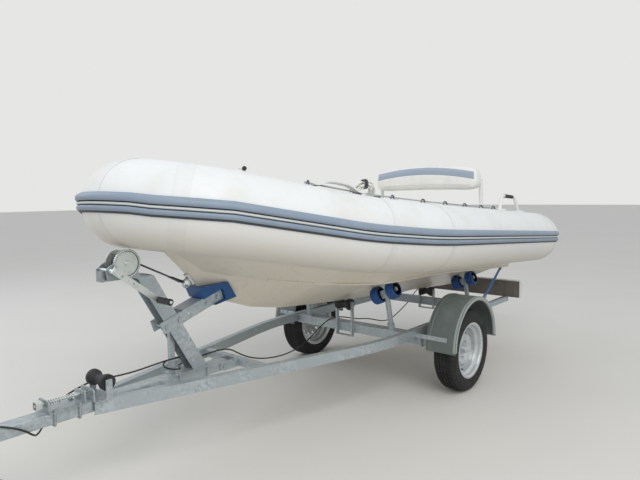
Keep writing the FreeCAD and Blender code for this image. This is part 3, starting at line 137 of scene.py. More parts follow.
def start_material(name, colour, roughness, metallic=0.0, **sockets):
    """A material with one Principled shader; returns it, its tree, its shader and the object's coordinates."""
    material = bpy.data.materials.new(name)
    material.use_nodes = True
    tree = material.node_tree
    tree.nodes.clear()
    values = {"Base Color": colour, "Roughness": roughness, "Metallic": metallic}
    values.update({key.replace("_", " "): value for key, value in sockets.items()})
    shader = add_node(tree, "ShaderNodeBsdfPrincipled", values)
    add_node(tree, "ShaderNodeOutputMaterial", {"Surface": shader})
    where = add_node(tree, "ShaderNodeTexCoord")
    return material, tree, shader, where.outputs["Object"]


def clouds(tree, where, size_mm, detail, low, high, most=1.0, rough=0.5):
    """Soft clouds of the given size, as a factor from 0 to most."""
    noise = add_node(tree, "ShaderNodeTexNoise",
                     {"Vector": where, "Scale": 1 / (size_mm * MM), "Detail": detail, "Roughness": rough})
    return add_node(tree, "ShaderNodeMapRange",
                    {"Value": noise, "From Min": low, "From Max": high, "To Max": most})


def grained(tree, shader, where, kind, size_mm, strength, depth_mm, **more):
    """A fine grain of the given size in the surface."""
    grain = add_node(tree, kind, {"Vector": where, "Scale": 1 / (size_mm * MM), **more})
    relief = add_node(tree, "ShaderNodeBump",
                      {"Height": grain, "Strength": strength, "Distance": depth_mm * MM})
    plug_in(tree, shader, {"Normal": relief})


# %% [markdown]
# Hot-dip galvanising leaves crystals of zinc, called spangle, that each lean another way and so catch the
# light differently. A Voronoi pattern gives every crystal its own tone. Real spangle is about 8 mm here
# and is drawn at 13 mm so that it shows; broad clouds stand for the dull grey of weathered zinc.

# %% Galvanised steel, and bright zinc plate


def galvanised_steel():
    material, tree, shader, where = start_material("Hot-dip galvanised steel", "#a9b2b6", 0.46, 0.55)
    spangle = add_node(tree, "ShaderNodeTexVoronoi", {"Vector": where, "Scale": 1 / (13 * MM)})
    crystal = add_node(tree, "ShaderNodeSeparateColor", {"Color": spangle.outputs["Color"]})
    tones = add_node(tree, "ShaderNodeMix", {0: crystal, 6: "#9da6aa", 7: "#bcc4c8"}, data_type="RGBA")
    dull = clouds(tree, where, 140, 5.0, 0.36, 0.62)
    weathered = add_node(tree, "ShaderNodeMix", {0: dull, 6: tones, 7: "#a9b2b6"}, data_type="RGBA")
    gloss = add_node(tree, "ShaderNodeMapRange", {"Value": crystal.outputs[1], "To Min": 0.4, "To Max": 0.54})
    plug_in(tree, shader, {"Base Color": weathered, "Roughness": gloss})
    grained(tree, shader, where, "ShaderNodeTexNoise", 6, 0.15, 0.3, Detail=3.0)
    return material


def zinc_plate(name, colour, dull, roughness):
    """Bright electroplated zinc: smooth, with faint stains."""
    material, tree, shader, where = start_material(name, colour, roughness, 0.8)
    stain = add_node(tree, "ShaderNodeTexNoise", {"Vector": where, "Scale": 1 / (25 * MM), "Detail": 6.0})
    spread = add_node(tree, "ShaderNodeMapRange", {"Value": stain, "From Min": 0.5, "From Max": 0.78})
    tones = add_node(tree, "ShaderNodeMix", {0: spread, 6: colour, 7: dull}, data_type="RGBA")
    gloss = add_node(tree, "ShaderNodeMapRange",
                     {"Value": stain, "To Min": roughness - 0.08, "To Max": roughness + 0.14})
    plug_in(tree, shader, {"Base Color": tones, "Roughness": gloss})
    return material


GALVANISED = galvanised_steel()
ZINC = zinc_plate("Bright zinc-plated steel", "#d3d9d7", "#b9c0bd", 0.34)
ZINC_DULL = zinc_plate("Dull zinc-plated steel", "#a6afb2", "#8c9598", 0.4)
WHEEL_SILVER = zinc_plate("Silver wheel paint", "#ced2d4", "#b4b9bc", 0.36)
STAINLESS = zinc_plate("Polished stainless steel", "#ccd0d2", "#b6babc", 0.2)

# %% [markdown]
# Rubbers and moulded plastics share one recipe: a base tone, a paler dust or scuff in broad patches, and
# a fine grain in the surface. Only the colours, sizes and gloss differ, so one function makes them all.

# %% Rubbers and moulded plastics


def moulded(name, colour, dusty, roughness, patch_mm, grain_mm, relief_mm, dust=0.5, coat=0.0):
    """A moulded polymer with dust in patches and a grain of the given size."""
    material, tree, shader, where = start_material(name, colour, roughness, 0.0, Coat_Weight=coat)
    spread = clouds(tree, where, patch_mm, 6.0, 0.45, 0.75, dust, 0.62)
    tones = add_node(tree, "ShaderNodeMix", {0: spread, 6: colour, 7: dusty}, data_type="RGBA")
    plug_in(tree, shader, {"Base Color": tones})
    grained(tree, shader, where, "ShaderNodeTexNoise", grain_mm, 0.5, relief_mm, Detail=2.0)
    return material


TYRE_RUBBER = moulded("Vulcanised tyre rubber", "#1c1c1d", "#3a3936", 0.82, 60, 2.5, 0.25)
BLACK_RUBBER = moulded("Moulded black rubber", "#1a1b1d", "#34353a", 0.6, 30, 2, 0.15)
ROLLER_BLUE = moulded("Blue polyurethane", "#0f4787", "#33679c", 0.45, 22, 2, 0.12, 0.55)
BLOCK_BLUE = moulded("Blue moulded block", "#0e477f", "#336797", 0.42, 40, 2, 0.12, 0.4)
GUARD_PLASTIC = moulded("Grey polypropylene", "#5f6866", "#7a827f", 0.5, 120, 1.8, 0.12, 0.6)
# A paler grey that paints the highlight on the mudguard's rolled lip
LIP_PAINTED_HIGHLIGHT = moulded("Grey polypropylene lip", "#939a97", "#a6aca9", 0.5, 120, 1.8, 0.12, 0.5)
BOARD_PLASTIC = moulded("Dark moulded board", "#6b665f", "#827d75", 0.55, 90, 2, 0.12, 0.6)
WHITE_PLASTIC = moulded("White moulded ABS", "#dedfdc", "#c4c4bf", 0.42, 60, 2, 0.06, 0.4)
BLACK_PLASTIC = moulded("Black moulded nylon", "#161719", "#2e3033", 0.48, 30, 2, 0.1)
POWDER_WHITE = moulded("White powder coat", "#e4e4e0", "#cfcfc9", 0.4, 80, 1.6, 0.08, 0.4)
SHEATH_BLACK = moulded("Black PVC cable sheath", "#141516", "#33322f", 0.5, 40, 3, 0.08, 0.4)

# %% [markdown]
# The hull is glass fibre under gelcoat: a hard, slightly glossy cream skin, tinted a little beige to paint the
# bounce light from the ground. Road grime and old water marks gather low down, where painted shade and beige
# bounce light from the ground also lie, so a mask by height darkens it towards the keel in clouds. The deck inside
# is moulded with a non-slip grain, which only faces that look up carry.

# %% Gelcoat


def gelcoat():
    material, tree, shader, where = start_material(
        "Cream gelcoat on glass fibre", "#ddd6c7", 0.34, 0.0, Coat_Weight=0.25, Coat_Roughness=0.18)
    cloud = add_node(tree, "ShaderNodeTexNoise",
                     {"Vector": where, "Scale": 1 / (220 * MM), "Detail": 7.0, "Roughness": 0.6})
    place = add_node(tree, "ShaderNodeSeparateXYZ", {"Vector": where})
    # Painted shade and beige bounce light from the ground, with road grime, darken the hull towards the keel in
    # clouds
    low = add_node(tree, "ShaderNodeMapRange",
                   {"Value": place.outputs["Z"], "From Min": 0.95, "From Max": 0.6, "To Max": 0.75})
    mask = add_node(tree, "ShaderNodeMath", {0: cloud, 1: low}, operation="MULTIPLY")
    stained_and_shaded = add_node(tree, "ShaderNodeMix", {0: mask, 6: "#e0d9cb", 7: "#b9ac93"}, data_type="RGBA")
    # Fine vertical runs where water has dried
    stretched = add_node(tree, "ShaderNodeMapping", {"Vector": where, "Scale": (34, 34, 3)})
    thin = clouds(tree, stretched, 1000, 4.0, 0.56, 0.75, 0.35)
    run = add_node(tree, "ShaderNodeMix", {0: thin, 6: stained_and_shaded, 7: "#c2b8a4"}, data_type="RGBA")
    facing = add_node(tree, "ShaderNodeNewGeometry")
    up = add_node(tree, "ShaderNodeSeparateXYZ", {"Vector": facing.outputs["Normal"]})
    flat = add_node(tree, "ShaderNodeMath", {0: up.outputs["Z"], 1: 0.9}, operation="GREATER_THAN")
    grit = add_node(tree, "ShaderNodeTexVoronoi", {"Vector": where, "Scale": 1 / (5 * MM)})
    raised = add_node(tree, "ShaderNodeMath", {0: grit, 1: flat}, operation="MULTIPLY")
    relief = add_node(tree, "ShaderNodeBump", {"Height": raised, "Strength": 0.6, "Distance": 0.8 * MM})
    plug_in(tree, shader, {"Base Color": run, "Normal": relief})
    return material


GELCOAT = gelcoat()

# %% [markdown]
# The buoyancy tubes are polyester cloth coated with PVC. From a step away the eye sees a satin white skin with a
# very fine emboss, greyer where hands and fenders have rubbed it, and with painted beige bounce light and shade
# from the ground on the underside.

# %% Coated tube fabric, and the strake's rubber


def tube_fabric(name, colour, dirt_and_bounce_tone, emboss=1.0):
    """PVC-coated cloth, dirtier in clouds, with painted beige bounce light and shade where it looks down."""
    material, tree, shader, where = start_material(name, colour, 0.5, 0.0, Sheen_Weight=0.06)
    spread = clouds(tree, where, 260, 7.0, 0.45, 0.8, 0.45, 0.58)
    facing = add_node(tree, "ShaderNodeNewGeometry")
    side = add_node(tree, "ShaderNodeSeparateXYZ", {"Vector": facing.outputs["Normal"]})
    # Painted beige bounce light and shade from the ground on faces that look down
    under = add_node(tree, "ShaderNodeMapRange",
                     {"Value": side.outputs["Z"], "From Min": 0.1, "From Max": -0.9, "To Max": 0.8})
    dirt_and_bounce = add_node(tree, "ShaderNodeMath", {0: spread, 1: under}, operation="MAXIMUM")
    tones = add_node(tree, "ShaderNodeMix", {0: dirt_and_bounce, 6: colour, 7: dirt_and_bounce_tone}, data_type="RGBA")
    plug_in(tree, shader, {"Base Color": tones})
    # The cloth's threads are 0.4 mm; drawn at 1.6 mm
    grained(tree, shader, where, "ShaderNodeTexVoronoi", 1.6, 0.12 * emboss, 0.25)
    return material


TUBE_WHITE = tube_fabric("White PVC-coated cloth", "#e4e6e6", "#cdc5b7")
TAPE_WHITE = tube_fabric("White seam tape", "#e0e2e2", "#cac2b4", 1.6)
# The rim of each seam tape takes a darker grey
TAPE_EDGE = tube_fabric("Darker grey tape rim", "#b9b8b3", "#a79e8f")
TAPE_GREY = tube_fabric("Grey seam tape", "#8d9298", "#7c7e80", 1.6)
STRAKE_GREY = moulded("Blue-grey strake rubber", "#8593a4", "#98a4b2", 0.5, 160, 2, 0.08, 0.5)
STRAKE_LIGHT = moulded("Pale strake rubber", "#c6c9c8", "#d3d5d4", 0.48, 160, 2, 0.08, 0.5)
# Painted shade: a dark colour for the strake's grooves and the undersides of its ribs
STRAKE_PAINTED_SHADE = moulded("Dark strake groove", "#3a4047", "#4d5359", 0.6, 160, 2, 0.08, 0.4)

# %% [markdown]
# Objects are copied, shaped and handed over the same way each time. A copy of a CAD node is merged into
# one skin first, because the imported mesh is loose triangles. When a piece is done its place is applied
# to the mesh, it gets its finish, and it rides on the body that carries the real piece.

# %% Modelling tools


def new_object(name, data):
    """An object for this mesh or curve, in the scene."""
    made = bpy.data.objects.new(name, data)
    scene.collection.objects.link(made)
    return made


def pick(obj):
    """Only this object is selected and active."""
    bpy.ops.object.select_all(action="DESELECT")
    obj.select_set(True)
    bpy.context.view_layer.objects.active = obj


def edit(obj, select="SELECT"):
    """Edit mode with everything or nothing selected, or with what is already chosen."""
    pick(obj)
    bpy.ops.object.mode_set(mode="EDIT")
    if select != "CHOSEN":
        bpy.ops.mesh.select_all(action=select)


def leave_edit():
    bpy.ops.object.mode_set(mode="OBJECT")


def face_outwards(obj):
    edit(obj)
    bpy.ops.mesh.normals_make_consistent(inside=False)
    leave_edit()


def fix_place(obj):
    """The object's place, turn and scale go into its mesh."""
    pick(obj)
    bpy.ops.object.transform_apply(location=True, rotation=True, scale=True)


def modify(obj, kind, **settings):
    """Adds a modifier with its settings and applies it."""
    pick(obj)
    bpy.ops.object.modifier_add(type=kind)
    modifier = obj.modifiers[-1]
    for key, value in settings.items():
        setattr(modifier, key, value)
    bpy.ops.object.modifier_apply(modifier=modifier.name)


def copy_of(source, name):
    """A loose copy with its own mesh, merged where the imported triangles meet."""
    made = new_object(name, source.data.copy())
    made.data.materials.clear()
    edit(made)
    bpy.ops.mesh.remove_doubles(threshold=0.02 * MM)
    bpy.ops.mesh.customdata_custom_splitnormals_clear()
    leave_edit()
    return made


def press(obj, depth):
    """Moves every vertex inwards along its normal by depth(place), in millimetres."""
    places = [(v.co.copy(), v.normal.copy()) for v in obj.data.vertices]
    moved = []
    for place, normal in places:
        moved.extend(place - normal * depth(place) * MM)
    obj.data.vertices.foreach_set("co", moved)
    obj.data.update()


def smooth(obj, degrees=40):
    pick(obj)
    bpy.ops.object.shade_smooth_by_angle(angle=math.radians(degrees))


def hand_over(obj, body, slot, *finish, stands_for=()):
    """The finished piece: place applied, finish given, riding on its body."""
    fix_place(obj)
    if finish:
        index = [p.material_index for p in obj.data.polygons]
        obj.data.materials.clear()
        for material in finish:
            obj.data.materials.append(material)
        obj.data.polygons.foreach_set("material_index", [min(i, len(finish) - 1) for i in index])
    if stands_for:
        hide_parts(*stands_for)
    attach(obj, body)
    return obj


def hand_over_bent(obj, finish, stands_for=()):
    """A finished piece that crosses the tilt hinge: finish given, its place applied, left on no body."""
    obj.data.materials.append(finish)
    if stands_for:
        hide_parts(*stands_for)
    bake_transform(obj)


def from_axle(x, y, z):
    """A place given in millimetres from the wheel axle's line, as the drawing gives it, in metres here."""
    return Vector((x - 700, y, z)) / 1000


def on_side(flip, *points):
    """Points of the port side as vectors, mirrored to starboard where flip is -1."""
    return [Vector((x, y * flip, z)) for x, y, z in points]


def along(obj, start, direction):
    """Stands a piece that was made upright at the origin on a point, along a direction."""
    turn = Vector(direction).to_track_quat("Z", "Y")
    obj.matrix_world = Matrix.Translation(start) @ turn.to_matrix().to_4x4()


# %% [markdown]
# Every CAD node that is kept as it is gets the finish of its real metal, rubber or plastic. The list goes
# by the node's name; pieces that Blender replaces further down are simply hidden then.

# %% Finishes of the CAD nodes
FINISHES = {
    "galvanised_steel": GALVANISED, "zinc_plated_steel": ZINC, "wheel_silver": WHEEL_SILVER,
    "tyre_rubber": TYRE_RUBBER, "mudguard_plastic": GUARD_PLASTIC, "board_plastic": BOARD_PLASTIC,
    "lamp_lens": BOARD_PLASTIC, "roller_blue": ROLLER_BLUE, "black_rubber": BLACK_RUBBER,
    "tube_fabric": TUBE_WHITE, "strake_grey": STRAKE_GREY, "gelcoat": GELCOAT, "cushion_vinyl": TUBE_WHITE,
    "frame_white": POWDER_WHITE, "rope_grey": TUBE_WHITE, "stainless": STAINLESS, "strap_black": BLACK_PLASTIC,
    "strap_blue": ROLLER_BLUE, "cable_black": SHEATH_BLACK, "plug_plastic": BLACK_PLASTIC,
}
for part in frame["record"]["subparts"]:
    node = nodes[part["node"]]
    node.data.materials.clear()
    node.data.materials.append(FINISHES[part["material_slot"]])
nodes["bow_stop_block"].data.materials[0] = BLOCK_BLUE
for name in ("latch_bracket", "winch_frame", "coupling_head", "jockey_clamp", "jockey_leg"):
    nodes[name].data.materials[0] = ZINC_DULL

# %% [markdown]
# The inflated tube is the boat's largest surface, and a CAD skin of flat facets shows in its highlights.
# A voxel remesh of a copy gives an even net of small faces, and a few rounds of smoothing lets them lie
# round. Then the net is pulled in a little at each glued seam, as pressure makes the panels belly out.

# %% Inflated tube
AXIS = [from_axle(*p) for p in ((-1370, 663, 949), (598, 701, 1072), (1050, 605, 1119),
                                (1870, 296, 1270), (2040, 0, 1310))]
TUBE_R = 0.205

tube = copy_of(nodes["buoyancy_tube"], "tube_skin")
modify(tube, "REMESH", mode="VOXEL", voxel_size=12 * MM, use_smooth_shade=True)
modify(tube, "SMOOTH", factor=0.5, iterations=10)


def seam_planes():
    """Middle, direction across and tape width of each glued joint on the port side."""
    planes = []
    for i, (shift, width) in enumerate(((0.0, 0.04), (-0.09, 0.036), (-0.09, 0.036), (0.06, 0.075))):
        before = (AXIS[i] - AXIS[i - 1]).normalized() if i else (AXIS[1] - AXIS[0]).normalized()
        after = (AXIS[i + 1] - AXIS[i]).normalized()
        over = (before + after).normalized()
        planes.append((AXIS[i] + over * shift, over, width))
    return planes


SEAMS = seam_planes()
SEAMS += [(*on_side(-1, centre, over), width) for centre, over, width in SEAMS]
SEAMS.append((AXIS[-1], ACROSS, 0.1))


def seam_pull(place):
    pull = 0.0
    for centre, across_seam, _ in SEAMS:
        to = place - centre
        off = to.dot(across_seam)
        if abs(off) < 0.12 and to.length < 0.4:
            pucker = math.sin(17 * math.atan2(to.z, to.dot(across_seam.cross(UP))))
            pull += 1.6 * math.exp(-(off / 0.018) ** 2) + 0.35 * pucker * math.exp(-(off / 0.045) ** 2)
    return pull


press(tube, seam_pull)
hand_over(tube, ROOT, "tube_fabric", TUBE_WHITE, stands_for=["buoyancy_tube"])
print("tube", len(tube.data.polygons), "faces")

# %% [markdown]
# Each seam is closed by a glued tape that follows the tube's skin exactly. The surest way to a strip that
# fits is to cut it out of the skin itself: a copy is bisected by two planes, the rest is deleted, and
# Solidify gives it the cloth's thickness outwards.

# %% Seam tapes
TAPE_THICK, TAPE_REACH = 1.2 * MM, 0.42


def tape(name, centre, direction, width):
    made = new_object(name, tube.data.copy())
    for side in (-1, 1):
        edit(made)
        bpy.ops.mesh.bisect(plane_co=centre + direction * side * width / 2, plane_no=direction * side,
                            clear_outer=True)
        leave_edit()
    edit(made, "DESELECT")
    leave_edit()
    for vertex in made.data.vertices:
        vertex.select = (vertex.co - centre).length > TAPE_REACH
    edit(made, "CHOSEN")
    bpy.ops.mesh.delete(type="VERT")
    leave_edit()
    for layer in (TAPE_WHITE, TAPE_EDGE):
        made.data.materials.append(layer)
    modify(made, "SOLIDIFY", thickness=TAPE_THICK, offset=1.0, material_offset_rim=1)
    smooth(made, 50)
    hand_over(made, ROOT, "tube_fabric", TAPE_WHITE, TAPE_EDGE)


for number, seam in enumerate(SEAMS):
    tape(f"seam_tape_{number}", *seam)
print(len(SEAMS), "seam tapes")

# %% [markdown]
# The rubbing strake is one extruded rubber section glued round the widest line: two fat blue-grey ribs and a thin
# pale rib between them, with a dark colour in the grooves and under the ribs as painted shade. Its profile is
# swept along the tube's axis path, which is straight runs joined by arcs, and each strip of the profile takes its
# own finish.

# %% Rubbing strake
BEND_R = [1.5, 1.5, 0.3, 0.23, 0.3, 1.5, 1.5]
# Finish 2 is the painted shade of the grooves and the undersides of the ribs
STRAKE = [
    # outwards from the skin and up from the middle in millimetres, finish of the strip that follows
    (-10, 46, 0), (5, 46, 0), (9, 44.5, 0), (12, 42, 0), (17, 39.5, 0), (21, 36, 0), (23.6, 30, 0), (24, 24, 0),
    (23, 17, 0), (20, 12, 0), (15, 9, 2), (10, 7.4, 2), (8, 6, 2), (8, 4.4, 2), (11, 3.6, 1), (15, 2.2, 1),
    (17, 0, 1), (17.6, -2.5, 1), (17, -5, 1), (15, -7, 1), (11, -8.4, 2), (8.5, -9.6, 2), (9, -11.2, 2),
    (13, -12.6, 0), (17, -15, 0), (19.4, -19, 0), (20, -24, 0), (19.4, -28, 0), (17.6, -32, 0), (15, -35.5, 2),
    (11, -39, 2), (8, -42, 2), (6, -46, 2), (-10, -46, 2)]


def axis_stations(corners, radii, run_step=0.08, turn_step=math.radians(3)):
    """Places on the rounded path through the corners, each with its direction."""
    stations = []
    last = corners[0]
    for before, corner, after, radius in zip(corners, corners[1:], corners[2:], radii):
        back, ahead = (before - corner).normalized(), (after - corner).normalized()
        half = back.angle(ahead) / 2
        start = corner + back * radius / math.tan(half)
        inward = (back + ahead).normalized()
        centre = corner + inward * radius / math.sin(half)
        shares = max(1, int((start - last).length / run_step))
        stations += [(last.lerp(start, share / shares), -back) for share in range(shares)]
        turn = math.pi - 2 * half
        steps = max(2, int(turn / turn_step))
        spin_axis = (-back).cross(ahead).normalized()
        for step in range(steps + 1):
            spin = Matrix.Rotation(turn * step / steps, 3, spin_axis)
            stations.append((centre + spin @ (start - centre), spin @ -back))
        last = corner + ahead * radius / math.tan(half)
    stations.pop()
    end_run = corners[-1] - last
    shares = int(end_run.length / run_step)
    stations += [(last + end_run * share / shares, end_run.normalized()) for share in range(shares + 1)]
    return stations


whole_axis = AXIS + on_side(-1, *reversed(AXIS[:-1]))
rings = []
for place, direction in axis_stations(whole_axis, BEND_R):
    outward = Vector((-direction.y, direction.x, 0)).normalized()
    upward = direction.cross(outward).normalized()
    rings.append([place + outward * (math.sqrt(TUBE_R ** 2 - (h * MM) ** 2) + o * MM) + upward * (h + 9) * MM
                  for o, h, _ in STRAKE])
count = len(STRAKE)
faces = [(k * count + i, k * count + (i + 1) % count, (k + 1) * count + (i + 1) % count, (k + 1) * count + i)
         for k in range(len(rings) - 1) for i in range(count)]
faces += [tuple(range(count)), tuple(range((len(rings) - 1) * count, len(rings) * count))]
mesh = bpy.data.meshes.new("strake_bands")
mesh.from_pydata([place for ring in rings for place in ring], [], faces)
strake = new_object("strake_bands", mesh)
for face in mesh.polygons[:-2]:
    face.material_index = STRAKE[face.index % count][2]
for finish in (STRAKE_GREY, STRAKE_LIGHT, STRAKE_PAINTED_SHADE):
    mesh.materials.append(finish)
face_outwards(strake)
smooth(strake, 35)
hand_over(strake, ROOT, "strake_grey", STRAKE_GREY, STRAKE_LIGHT, STRAKE_PAINTED_SHADE, stands_for=["rubbing_strake"])
print("strake", len(rings), "stations,", len(mesh.polygons), "faces")

# %% [markdown]
# ## Cushions
# The bench pad and the bolster are foam in vinyl covers. Their CAD solids are the space they fill. Each is
# remeshed, blown up a little by a short cloth simulation with gravity off so that its sides crown and its
# corners pull in, and then its seams are pressed in.

# %% Vinyl, with the bolster's stripe


def vinyl(name, stripe=None):
    """White upholstery vinyl with a leather grain, and a stripe between two heights along an arch."""
    material, tree, shader, where = start_material(name, "#e7e6e1", 0.42, 0.0, Coat_Weight=0.1)
    spread = clouds(tree, where, 90, 6.0, 0.45, 0.75, 0.5)
    tones = add_node(tree, "ShaderNodeMix", {0: spread, 6: "#e9e8e4", 7: "#d3d1ca"}, data_type="RGBA")
    if stripe:
        x, y, z = add_node(tree, "ShaderNodeSeparateXYZ", {"Vector": where}).outputs
        square = add_node(tree, "ShaderNodeMath", {0: y, 1: y}, operation="MULTIPLY")
        arch = add_node(tree, "ShaderNodeMath", {0: square, 1: stripe["arch"]}, operation="MULTIPLY")
        height = add_node(tree, "ShaderNodeMath", {0: z, 1: arch}, operation="ADD")
        off = add_node(tree, "ShaderNodeMath", {0: y, 1: stripe["centre"]}, operation="SUBTRACT")
        half = add_node(tree, "ShaderNodeMath", {0: off}, operation="ABSOLUTE")
        inside = 1.0
        for source, edge, test in ((height, "top", "LESS_THAN"), (height, "bottom", "GREATER_THAN"),
                                   (x, "front", "GREATER_THAN"), (half, "half", "LESS_THAN")):
            mask = add_node(tree, "ShaderNodeMath", {0: source, 1: stripe[edge]}, operation=test)
            inside = add_node(tree, "ShaderNodeMath", {0: inside, 1: mask}, operation="MULTIPLY")
        tones = add_node(tree, "ShaderNodeMix", {0: inside, 6: tones, 7: "#9aa6b6"}, data_type="RGBA")
    plug_in(tree, shader, {"Base Color": tones})
    grained(tree, shader, where, "ShaderNodeTexVoronoi", 2.4, 0.35, 0.3)
    return material


# %% [markdown]
# A cushion starts a few millimetres inside its solid and is blown up by cloth pressure for twenty frames.
# No point may move further than a cap, so it stays near the space that the solid holds.

# %% Cloth simulation for stuffed pieces
CLOTH_FRAMES = 20


def stuffed(node, name, voxel_mm, start_mm, pressure, cap_mm):
    """A copy of a soft node, drawn in by start_mm and blown up again by a short cloth simulation."""
    made = copy_of(nodes[node], name)
    modify(made, "REMESH", mode="VOXEL", voxel_size=voxel_mm * MM, use_smooth_shade=True)
    modify(made, "SMOOTH", factor=0.5, iterations=4)
    press(made, lambda place: start_mm)
    rest = [v.co.copy() for v in made.data.vertices]
    pick(made)
    bpy.ops.object.modifier_add(type="CLOTH")
    cloth = made.modifiers[-1]
    cloth.settings.use_pressure = True
    cloth.settings.uniform_pressure_force = pressure
    cloth.settings.effector_weights.gravity = 0.0
    cloth.settings.tension_stiffness = cloth.settings.compression_stiffness = 30
    cloth.settings.bending_stiffness = 2
    for number in range(1, CLOTH_FRAMES + 1):
        scene.frame_set(number)
    bpy.ops.object.modifier_apply(modifier=cloth.name)
    scene.frame_set(1)
    moved = 0.0
    for vertex, was in zip(made.data.vertices, rest):
        step = vertex.co - was
        moved = max(moved, step.length)
        if step.length > cap_mm * MM:
            vertex.co = was + step.normalized() * cap_mm * MM
    made.data.update()
    print(name, "moved up to", round(moved * 1000, 1), "mm")
    return made


# %% [markdown]
# The bolster behind the bench has a blue-grey stripe along its front, under the arched top edge, and a
# sewn seam near each end. The stripe is drawn by its real height under the arch, and a dent of 2 mm marks
# its two edges and the end seams.

# %% Bolster
BACK_LOW, BACK_END, BACK_MID = 1.358, 1.518, 1.570
BACK_X = from_axle(-690, 0, 0).x
BACK_HALF, BACK_CENTRE, END_SEAM = 0.488, 0.020, 0.448
FOAM_LOW, TALLER, NARROWER = 1.366, 1.14, 0.97
STRIPE_TOP, STRIPE_BOTTOM = BACK_MID - 0.026, BACK_MID - 0.084
arch_fall = (BACK_MID - BACK_END) / BACK_HALF ** 2
BOLSTER_VINYL = vinyl("White vinyl with a grey stripe", {
    "arch": arch_fall, "top": STRIPE_TOP, "bottom": STRIPE_BOTTOM, "front": BACK_X + 0.012,
    "centre": BACK_CENTRE, "half": 0.447})
PLAIN_VINYL = vinyl("White vinyl")

bolster = stuffed("backrest_cushion", "bolster", 6, 3.5, 3.0, 6)
modify(bolster, "SUBSURF", levels=1, render_levels=1)
# As in the photograph, the cover stands higher than the solid and is drawn in at its starboard end
for vertex in bolster.data.vertices:
    vertex.co.z = BACK_LOW + (vertex.co.z - FOAM_LOW) * TALLER
    vertex.co.y = BACK_CENTRE + vertex.co.y * NARROWER
bolster.data.update()


def bolster_seams(place):
    height = place.z + arch_fall * place.y ** 2
    off = abs(place.y - BACK_CENTRE)
    dent = math.exp(-((off - END_SEAM) / 0.004) ** 2)
    if place.x > BACK_X + 0.01 and off < 0.45:
        for line in (STRIPE_TOP, STRIPE_BOTTOM):
            dent += math.exp(-((height - line) / 0.0035) ** 2)
    return 2.2 * min(dent, 1.0)


press(bolster, bolster_seams)
hand_over(bolster, ROOT, "cushion_vinyl", BOLSTER_VINYL, stands_for=["backrest_cushion"])
print("bolster", len(bolster.data.polygons), "faces")

# %% [markdown]
# The bench pad is made the same way. One seam runs fore and aft over the middle of its top.

# %% Bench pad
bench = stuffed("seat_cushion", "bench_pad", 6, 4, 3.5, 8)
modify(bench, "SUBSURF", levels=1, render_levels=1)
lowest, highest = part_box("seat_cushion")
bench_middle = (lowest + highest) / 2
press(bench, lambda place: (2.5 * math.exp(-((place.y - bench_middle.y) / 0.004) ** 2)
                            * (place.z > bench_middle.z)))
hand_over(bench, ROOT, "cushion_vinyl", PLAIN_VINYL, stands_for=["seat_cushion"])
print("bench pad", len(bench.data.polygons), "faces")

# %% [markdown]
# ## Cords, straps and turned pieces
# A cord follows a smooth NURBS line. Its control points are listed, and the hank's turn by turn. A strap is a grid
# laid along a line and thickened, with its UVs in metres so that the weave keeps its size.
# Round pieces are a profile turned about an axis by the Screw modifier.

# %% Lines, tubes, straps, turned pieces and blocks


def nurbs(name, points, radius=0.0, closed=False, sides=12):
    """A NURBS curve object with these control points; a radius gives it a round section."""
    bpy.ops.object.select_all(action="DESELECT")
    curve = bpy.data.curves.new(name, "CURVE")
    curve.dimensions = "3D"
    spline = curve.splines.new("NURBS")
    spline.points.add(len(points) - 1)
    for knot, point in zip(spline.points, points):
        knot.co = (*point, 1.0)
    spline.order_u = 3
    spline.use_endpoint_u = not closed
    spline.use_cyclic_u = closed
    curve.resolution_u = 6
    curve.bevel_depth = radius
    curve.bevel_resolution = max(1, sides // 4)
    curve.use_fill_caps = not closed
    return new_object(name, curve)


def line_of(points):
    """The places along the smooth line of these control points."""
    holder = nurbs("line", points)
    mesh = bpy.data.meshes.new_from_object(holder)
    places = [v.co.copy() for v in mesh.vertices]
    bpy.data.objects.remove(holder)
    return places


def run_length(places):
    return sum((b - a).length for a, b in zip(places, places[1:]))


def tube_along(name, points, radius, closed=False, sides=12):
    """A round cord, pipe or bead as a mesh."""
    made = nurbs(name, points, radius, closed, sides)
    pick(made)
    bpy.ops.object.convert(target="MESH")
    smooth(made, 50)
    return made


def strap_along(name, places, side, width, thickness, crown=0.0):
    """A flat strap along places; side points across it. Crown lifts its middle a little, as a pulled strap."""
    bpy.ops.object.select_all(action="DESELECT")
    bpy.ops.mesh.primitive_grid_add(x_subdivisions=len(places) - 1, y_subdivisions=6, size=2)
    made = bpy.context.object
    made.name = name
    length = run_length(places)
    for loop in made.data.uv_layers[0].data:
        loop.uv = (loop.uv[0] * length, (loop.uv[1] - 0.5) * width)
    last = len(places) - 1
    for vertex in made.data.vertices:
        step = round((vertex.co.x + 1) / 2 * last)
        run = (places[min(step + 1, last)] - places[max(step - 1, 0)]).normalized()
        over = run.cross(side).normalized()
        share = vertex.co.y
        vertex.co = places[step] + side * share * width / 2 + over * crown * (1 - share * share)
    made.data.update()
    modify(made, "SOLIDIFY", thickness=thickness, offset=0.0)
    smooth(made, 40)
    return made


def turned_piece(name, profile, steps=48, angle=360):
    """A profile of (radius, height) in millimetres, turned about the Z axis."""
    mesh = bpy.data.meshes.new(name)
    count = len(profile)
    mesh.from_pydata([(r * MM, 0, z * MM) for r, z in profile], [(i, i + 1) for i in range(count - 1)], [])
    made = new_object(name, mesh)
    modify(made, "SCREW", angle=math.radians(angle), steps=steps, render_steps=steps, use_merge_vertices=True,
           merge_threshold=0.01 * MM)
    edit(made)
    bpy.ops.mesh.remove_doubles(threshold=0.01 * MM)
    bpy.ops.mesh.normals_make_consistent(inside=False)
    leave_edit()
    smooth(made, 32)
    return made


